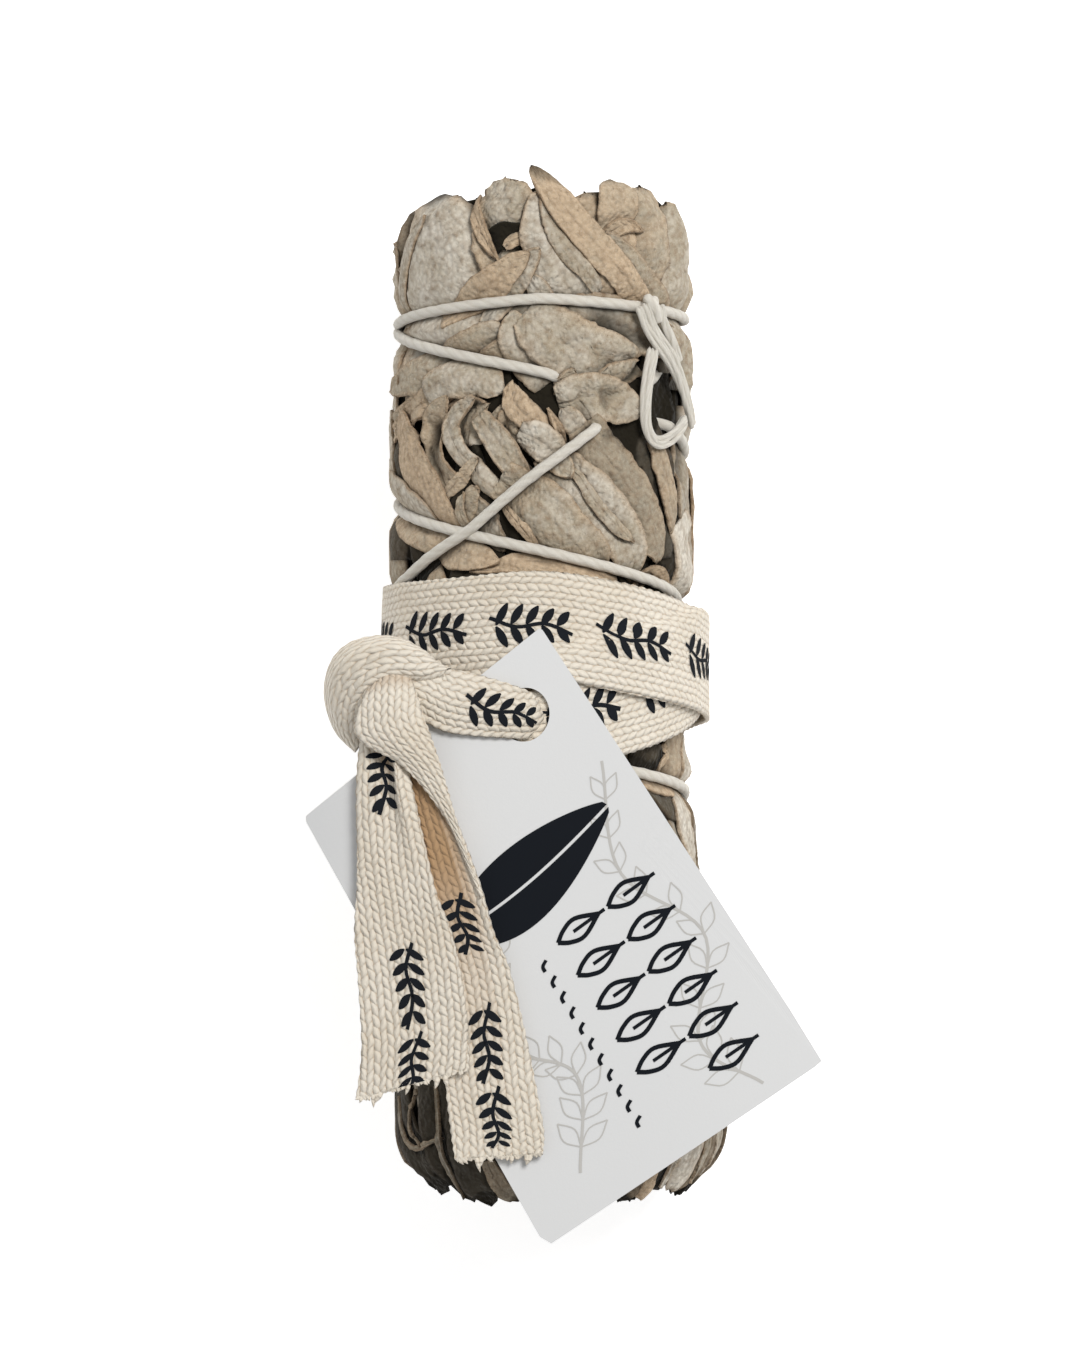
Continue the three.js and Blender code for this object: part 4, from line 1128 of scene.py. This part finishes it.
    # the right tail: its turned upper part, then the rest with its inside in shade under the left tail
    between(
        g,
        at3s([(374, 684, 46.0), (361, 706, 47.6), (354.5, 732, 47.8), (373, 749, 48.0), (396, 761, 48.2),
            (416, 778.5, 48.3),
              (433, 799, 48.4), (451, 824, 48.3), (466, 855, 48.2), (482, 896, 48.0)]),
        at3s([(410, 676, 46.8), (418, 696, 48.2), (426, 720, 48.8), (434, 742, 48.9), (441, 763, 48.9),
            (448, 786, 48.9),
              (454.5, 808, 48.8), (463, 834, 48.7), (474.5, 866, 48.6), (486, 897, 48.3)]),
        150, 25, lambda s, t: 0.9 * (1 - t**2) * (1 - smooth(0.2, 0.6, s)) + 0.25 * (1 - t**2),
        # painted shade where the tail leaves the knot
        paintedShade=lambda s, t: 0.5 * (1 - smooth(0.03, 0.1, s)))
    right = between(
        g,
        [at3(400, 752, 45.4), at3(402, 790, 46.2), onCard(412, 838, 0.8), onCard(425, 895, 0.8),
            onCard(438, 933, 0.8),
         onCard(446, 975, 0.7), onCard(448, 1030, 0.7), onCard(446, 1080, 0.7), onCard(450, 1124, 0.8),
             onCard(455, 1158, 1.0)],
        [at3(437, 764, 47.4), at3(449, 800, 47.5), onCard(464, 839, 1.6), onCard(481, 887, 1.6),
            onCard(494, 933, 1.4),
         onCard(508.5, 965, 1.2), onCard(523.5, 1022, 1.0), onCard(534, 1073, 0.9), onCard(544, 1128, 0.9),
         onCard(543, 1153, 1.1)],
        190, 29, lambda s, t: 0.15 * np.sin(9 * s + 2.5 * t)
        + 0.5 * smooth(0.7, 1, t) * (1 - smooth(0.3, 0.6, s)),
        paintedShade=lambda s, t: (1 - smooth(0.22, 0.62, s)) * (1 - smooth(0.62, 0.8, t))
        + 0.28 * (1 - smooth(0.5, 1.0, s)) * (t < 0.4))
    # the cut ends are thick and loose
    for ribbon, lift in ((left, 0.5), (right, 0.35)):
        last = len(ribbon.run) - 1
        count = 60
        for k in range(count):
            f = -0.98 + 1.96 * (k + rng.random()) / count
            base = ribbon.at(np.array([last - 1.4]), np.array([f]), -0.3)[0]
            nearEnd, further = (ribbon.at(np.array([last - d]), np.array([f]), 0)[0] for d in (1.0, 5.0))
            ahead = unit(nearEnd - further)
            length = rng.uniform(0.35, 1.0) if rng.random() < 0.88 else rng.uniform(1.0, 2.2)
            n = 7
            q = np.linspace(0, 1, n)[:, None]
            drift = np.array([rng.uniform(-0.7, 0.7), rng.uniform(-0.3, 0.3),
                rng.uniform(-0.5, 0.5) * lift])
            line = base + ahead * length * q + drift * q**2
            cord(g, line, np.linspace(rng.uniform(0.36, 0.55), 0.2, n), cols=6, lobe=0.0)
    bmesh.ops.remove_doubles(g.bm, verts=g.bm.verts, dist=1e-7)
    cloth, ink = tapeMaterial(), plainMaterial("tapeInk", tapeLook["ink"], 0.9)
    o = g.finish(cloth)
    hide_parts("cotton_tape")

    # a generic leaf pattern printed in black along the tape
    g = Gather("tape_print")
    per = (len(band.run) - 1) / band.run[-1]
    for mmAt in np.arange(9, 262, 15.5):
        printSprig(g, band, mmAt * per, per, 1, 0)
    for ribbon, places in ((left, (10.0, 37.0, 47.0)), (right, (24.0, 40.0, 50.0)), (folded, (14.0,))):
        per = (len(ribbon.run) - 1) / ribbon.run[-1]
        for mmAt in places:
            printSprig(g, ribbon, mmAt * per, per, 0.8, 0)
    o = g.finish(ink)
    return o


def printLeaf(g, place2, a0, a1, b0, b1, width, n=7):
    # A filled leaf from (a0, b0) to (a1, b1) on a surface; place2 gives its points.
    f = np.linspace(0, 1, n)[:, None]
    t = np.linspace(-1, 1, 3)[None, :]
    da, db = a1 - a0, b1 - b0
    size = math.hypot(da, db)
    w = width / 2 * np.sin(np.pi * (0.04 + 0.92 * f)) ** 0.8
    a = a0 + da * f - db / size * w * t
    b = b0 + db * f + da / size * w * t
    g.sheet(place2(a, b))


def printLine(g, place2, line, width, n=16):
    at, go = bend(line, n)
    go = go / np.linalg.norm(go, axis=1, keepdims=True)
    t = np.linspace(-1, 1, 2)[None, :] * width / 2
    a = at[:, 0][:, None] - go[:, 1][:, None] * t
    b = at[:, 1][:, None] + go[:, 0][:, None] * t
    g.sheet(place2(a, b))


def printSprig(g, ribbon, row, perMm, scale, shift):
    # A stem with pairs of solid leaves, about 13 mm long and 6 mm wide, across the tape's face.
    i = int(np.clip(row, 1, len(ribbon.run) - 2))
    half = np.linalg.norm(ribbon.points[i, -1] - ribbon.points[i, 0]) / 2

    def place2(a, b):
        return ribbon.at(row + a * perMm, (b + shift) / half, 0.1)

    printLine(g, place2, [(-6 * scale, -1.2), (-2 * scale, 0.3), (2 * scale, -0.2), (6 * scale, 0.9)], 0.5)
    for k in range(5):
        a = (-5 + 2.2 * k) * scale
        for way in (-1, 1):
            lean = 1.7 * scale
            printLeaf(g, place2, a, a + lean, 0.1 * way, way * (3.1 - 0.25 * k) * scale, 1.25 * scale)


def tapeMaterial():
    n = Nodes("cottonTape")
    where = n.add("ShaderNodeTexCoord").outputs["Object"]
    uv = n.add("ShaderNodeSeparateXYZ", {0: n.add("ShaderNodeUVMap", uv_map="UVMap").outputs[0]})
    wobble = n.math("MULTIPLY", n.math("SUBTRACT", n.noise(where, 420, 2), 0.5), 0.5)
    across = n.math("DIVIDE", n.math("ADD", uv.outputs[1], wobble), tapeLook["stitchAcross"])
    column = n.math("FLOOR", across)
    inColumn = n.math("SUBTRACT", n.math("FRACT", across), 0.5)
    way = n.math("SUBTRACT", n.math("MULTIPLY", n.math("MODULO", n.math("ADD", column, 100.0), 2.0), 2.0),
        1.0)
    along = n.math("ADD", n.math("DIVIDE", uv.outputs[0], tapeLook["stitchAlong"]),
        n.math("MULTIPLY", n.math("MULTIPLY", inColumn, way), 0.42))
    along = n.math("ADD", along, n.math("MULTIPLY", column, 0.37))
    inStitch = n.math("SUBTRACT", n.math("FRACT", along), 0.5)
    a = n.math("POWER", n.math("ABSOLUTE", n.math("MULTIPLY", inColumn, 2.0)), 2.0)
    b = n.math("POWER", n.math("ABSOLUTE", n.math("MULTIPLY", inStitch, 2.0)), 2.4)
    ovals = n.math("SUBTRACT", 1.0, n.math("MULTIPLY", n.math("ADD", a, b), 0.62), clamp=True)
    stitch = n.math("MULTIPLY", ovals, n.math("ADD", 0.75, n.math("MULTIPLY", n.noise(where, 900, 2), 0.5)))
    yarnAt = n.add("ShaderNodeCombineXYZ", {0: uv.outputs[0], 1: n.math("MULTIPLY", uv.outputs[1], 3.0)})
    yarn = n.noise(yarnAt.outputs[0], 2.3, 3, 0.6)
    fuzz = n.noise(where, 5200, 2, 0.65)
    stain = n.noise(where, 110, 3, 0.6)
    inside = n.attribute("depth").outputs["Fac"]
    color = n.mix(n.ramp(stain, (0.42, 0.0), (0.75, 0.4)), (*tapeLook["color"], 1), (0.66, 0.56, 0.42, 1))
    color = n.mix(n.math("MULTIPLY", n.ramp(stitch, (0.0, 1.0), (0.5, 0.0)), 0.6), color,
        (*tapeLook["shade"], 1))
    color = n.mix(n.math("MULTIPLY", n.ramp(yarn, (0.5, 0.0), (0.8, 1.0)), 0.25), color,
        (*tapeLook["shade"], 1))
    # painted shade: dark tan on the tape's inner faces and under the other tail
    color = n.mix(n.math("MULTIPLY", inside, 0.8), color, (*tapeLook["inside"], 1))
    normal = n.bump(stitch, 0.00045, 0.8)
    normal = n.bump(yarn, 0.00012, 0.6, normal)
    normal = n.bump(fuzz, 0.00007, 0.6, normal)
    return n.finish(color, 0.95, normal, Sheen_Weight=0.2, Sheen_Roughness=0.5, Specular_IOR_Level=0.1)


# Tag: a card with its hole near the upper corner and a bent left corner.
tagLook = {
    "thick": 0.62, "corner": 0.6, "hole": (-2.7, -3.4), "holeRadius": 3.6, "color": (0.70, 0.705, 0.71),
    "line": (0.52, 0.51, 0.49), "ink": (0.006, 0.008, 0.012), "leafAt": (25.5, 5.5), "leafLong": 27,
    "leafWide": 10.5,
}
# The card's corners: upper, right, lower, left.
tagCorners = np.array([(-0.6, 8.8), (38.8, -51.6), (0.1, -77.4), (-33.8, -17.8)])
tagLong, tagShort = 72.2, 42.6


def tagPoint(a, b, up=0.0):
    # A point of the card, a mm along its long side and b mm along its short side from the upper corner.
    u, v = np.asarray(a, float)[..., None] / tagLong, np.asarray(b, float)[..., None] / tagShort
    upper = tagCorners[0] * (1 - u) + tagCorners[1] * u
    lower = tagCorners[3] * (1 - u) + tagCorners[2] * u
    p = upper * (1 - v) + lower * v
    z = cardTop(p[..., 0]) + up
    return np.concatenate([p, z[..., None]], axis=-1)


def buildTag():
    g = Gather("tag_card")
    d1 = (tagCorners[1] - tagCorners[0]) / tagLong
    d2 = (tagCorners[3] - tagCorners[0]) / tagShort
    hole = np.linalg.solve(np.stack([d1, d2], axis=1), np.array(tagLook["hole"]) - tagCorners[0])
    cols, rows = 289, 40
    theta = np.linspace(0, 2 * np.pi, cols)
    direction = np.stack([np.cos(theta), np.sin(theta)], axis=-1)
    with np.errstate(divide="ignore"):
        reachA = np.where(direction[:, 0] > 0, tagLong - hole[0], -hole[0]) / direction[:, 0]
        reachB = np.where(direction[:, 1] > 0, tagShort - hole[1], -hole[1]) / direction[:, 1]
    reach = np.minimum(np.where(np.abs(direction[:, 0]) < 1e-9, 1e9, reachA),
        np.where(np.abs(direction[:, 1]) < 1e-9, 1e9, reachB))
    edge = hole + direction * reach[:, None]
    c = tagLook["corner"]
    near = np.clip(edge, [c, c], [tagLong - c, tagShort - c])
    edge = near + unit(edge - near) * c
    f = (np.linspace(0, 1, rows) ** 1.25)[:, None, None]
    rim = hole + direction * tagLook["holeRadius"]
    ab = rim[None] * (1 - f) + edge[None] * f
    p = tagPoint(ab[..., 0], ab[..., 1])
    g.sheet(p, ab / tagLong, thick=tagLook["thick"])
    bmesh.ops.remove_doubles(g.bm, verts=g.bm.verts, dist=1e-6)
    bmesh.ops.recalc_face_normals(g.bm, faces=g.bm.faces)
    o = g.finish(cardMaterial())
    for face in o.data.polygons:
        face.use_smooth = False
    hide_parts("paper_tag")

    # every print lies a little over the last one, so that none share a plane
    laid = [0]

    def place2(a, b):
        laid[0] += 1
        return tagPoint(a, b, 0.03 + 0.0006 * laid[0])[:, ::-1]

    pale = Gather("tag_print_pale")
    stems = (
        [(70, 8), (60, 12), (48, 4), (34, 9), (20, 3)],
        [(66, 34), (54, 28), (44, 34), (30, 27)],
    )
    for line in stems:
        printLine(pale, place2, line, 0.42, n=40)
        at, go = bend(line, 13)
        for k in range(1, 12):
            d = go[k] / np.linalg.norm(go[k])
            for way in (-1, 1):
                tip = at[k] + d * 3.4 + way * np.array([-d[1], d[0]]) * (3.6 - 0.16 * k)
                middle = (at[k] + tip) / 2
                swell = np.array([-(tip - at[k])[1], (tip - at[k])[0]]) * 0.22
                for bulge in (-1, 1):
                    printLine(pale, place2, [tuple(at[k]), tuple(middle + bulge * swell), tuple(tip)], 0.2,
                        n=9)
    pale.finish(plainMaterial("tagLine", tagLook["line"], 0.7))

    # a big leaf in two halves beside its midrib
    dark = Gather("tag_print_black")
    f, t = np.linspace(0, 1, 40)[:, None], np.linspace(0, 1, 9)[None, :]
    ribA = tagLook["leafAt"][0] + 2.2 * np.sin(2.2 * f)
    ribB = tagLook["leafAt"][1] + tagLook["leafLong"] * f
    for way in (-1, 1):
        out = 0.22 + (tagLook["leafWide"] / 2) * np.sin(np.pi * (0.02 + 0.96 * f)) ** 0.75 * t
        dark.sheet(place2(ribA - way * out + 0 * t, ribB + 0.5 * out)[:, ::way])
    printLine(dark, place2, [(ribA[-1, 0], ribB[-1, 0] - 1), (ribA[-1, 0] - 0.6, ribB[-1, 0] + 3.5)], 0.6,
        n=6)
    # rows of plain leaf outlines
    for b, size, a0, count in ((6.2, 3.4, 37.0, 6), (14.4, 3.4, 37.0, 5)):
        for k in range(count):
            a = a0 + k * 5.4
            for way in (-1, 1):
                printLine(dark, place2, [(a, b), (a + way * size * 0.42, b + size * 0.9),
                    (a + way * size * 0.3, b + size * 1.5),
                                         (a, b + size * 1.95)], 0.62)
            printLine(dark, place2, [(a, b - 1.0), (a, b + size * 0.6), (a, b + size * 1.2)], 0.5)
    for k in range(11):
        a = 38.0 + 2.6 * k
        printLine(dark, place2, [(a, 23.6), (a + 0.5, 24.4), (a + 1.3, 24.5)], 0.5)
    dark.finish(plainMaterial("tagInk", tagLook["ink"], 0.45))


def cardMaterial():
    n = Nodes("tagCard")
    where = n.add("ShaderNodeTexCoord").outputs["Object"]
    grain = n.noise(where, 2600, 3, 0.6)
    cloud = n.noise(where, 60, 2, 0.5)
    color = n.mix(n.math("MULTIPLY", cloud, 0.14), (*tagLook["color"], 1), (0.60, 0.63, 0.66, 1))
    color = n.mix(n.math("MULTIPLY", grain, 0.05), color, (0.5, 0.5, 0.5, 1))
    return n.finish(color, 0.55, n.bump(grain, 0.00003, 0.4))


# Stems: woody, square, cut straight at the lower end.
stemLook = {"bark": (0.30, 0.20, 0.12), "cut": (0.62, 0.50, 0.34)}


def buildStems():
    n = Nodes("woodyStem")
    where = n.add("ShaderNodeTexCoord").outputs["Object"]
    stretched = n.add("ShaderNodeMapping", {"Vector": where, "Scale": (1, 0.06, 1)}).outputs[0]
    fibre = n.noise(stretched, 2600, 4, 0.65)
    pith = n.noise(where, 1500, 3)
    edge = n.attribute("edge").outputs["Fac"]
    color = n.ramp(fibre, (0.3, stemLook["bark"]), (0.7, tuple(1.5 * c for c in stemLook["bark"])))
    color = n.mix(edge, color, n.ramp(pith, (0.3, stemLook["cut"]),
        (0.75, tuple(0.6 * c for c in stemLook["cut"]))))
    material = n.finish(color, 0.9, n.bump(fibre, 0.0002, 0.7))
    for i in range(6):
        g = Gather("stem_%d" % (i + 1))
        angle, off = math.radians(i * 60 + 20), 9 if i % 2 else 5.5
        rows, cols = 60, 17
        s = np.linspace(0, 1, rows)[:, None]
        theta = np.linspace(0, -2 * np.pi, cols)[None, :]
        y = -70.5 + 110 * s
        square = 1 / np.maximum(np.abs(np.cos(theta)), np.abs(np.sin(theta))) ** 0.55
        thick = (1.15 - 0.55 * s) * square * (1 + 0.07 * fractal(theta * 1.5 + 0 * s, y * 0.3,
            0 * y + 7 * i))
        bendOut = off + 0.8 * np.sin(5 * s + i)
        p = np.stack([axisX(y) + bendOut * math.sin(angle) + thick * np.sin(theta), y + 0 * theta,
                      axisHeight + bendOut * math.cos(angle) + thick * np.cos(theta)], axis=-1)
        p = np.concatenate([p[:1] * [1, 1, 1], p], axis=0)
        middle = p[0].mean(axis=0)
        p[0] = middle + (p[0] - middle) * 0.02
        cut = np.zeros((rows + 1, 1))
        cut[:2] = 1
        g.sheet(p, edge=cut)
        closeSeams(g)
        o = g.finish(material)
        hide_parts("sage_stem_%d" % (i + 1))


buildStage()
print("stage", flush=True)
leafSkin = buildLeaves()
print("leaves", flush=True)
buildCore(leafSkin)
buildEnds(leafSkin)
print("ends", flush=True)
buildStems()
buildTwine()
print("twine", flush=True)
buildTape()
print("tape", flush=True)
buildTag()
print("tag", flush=True)
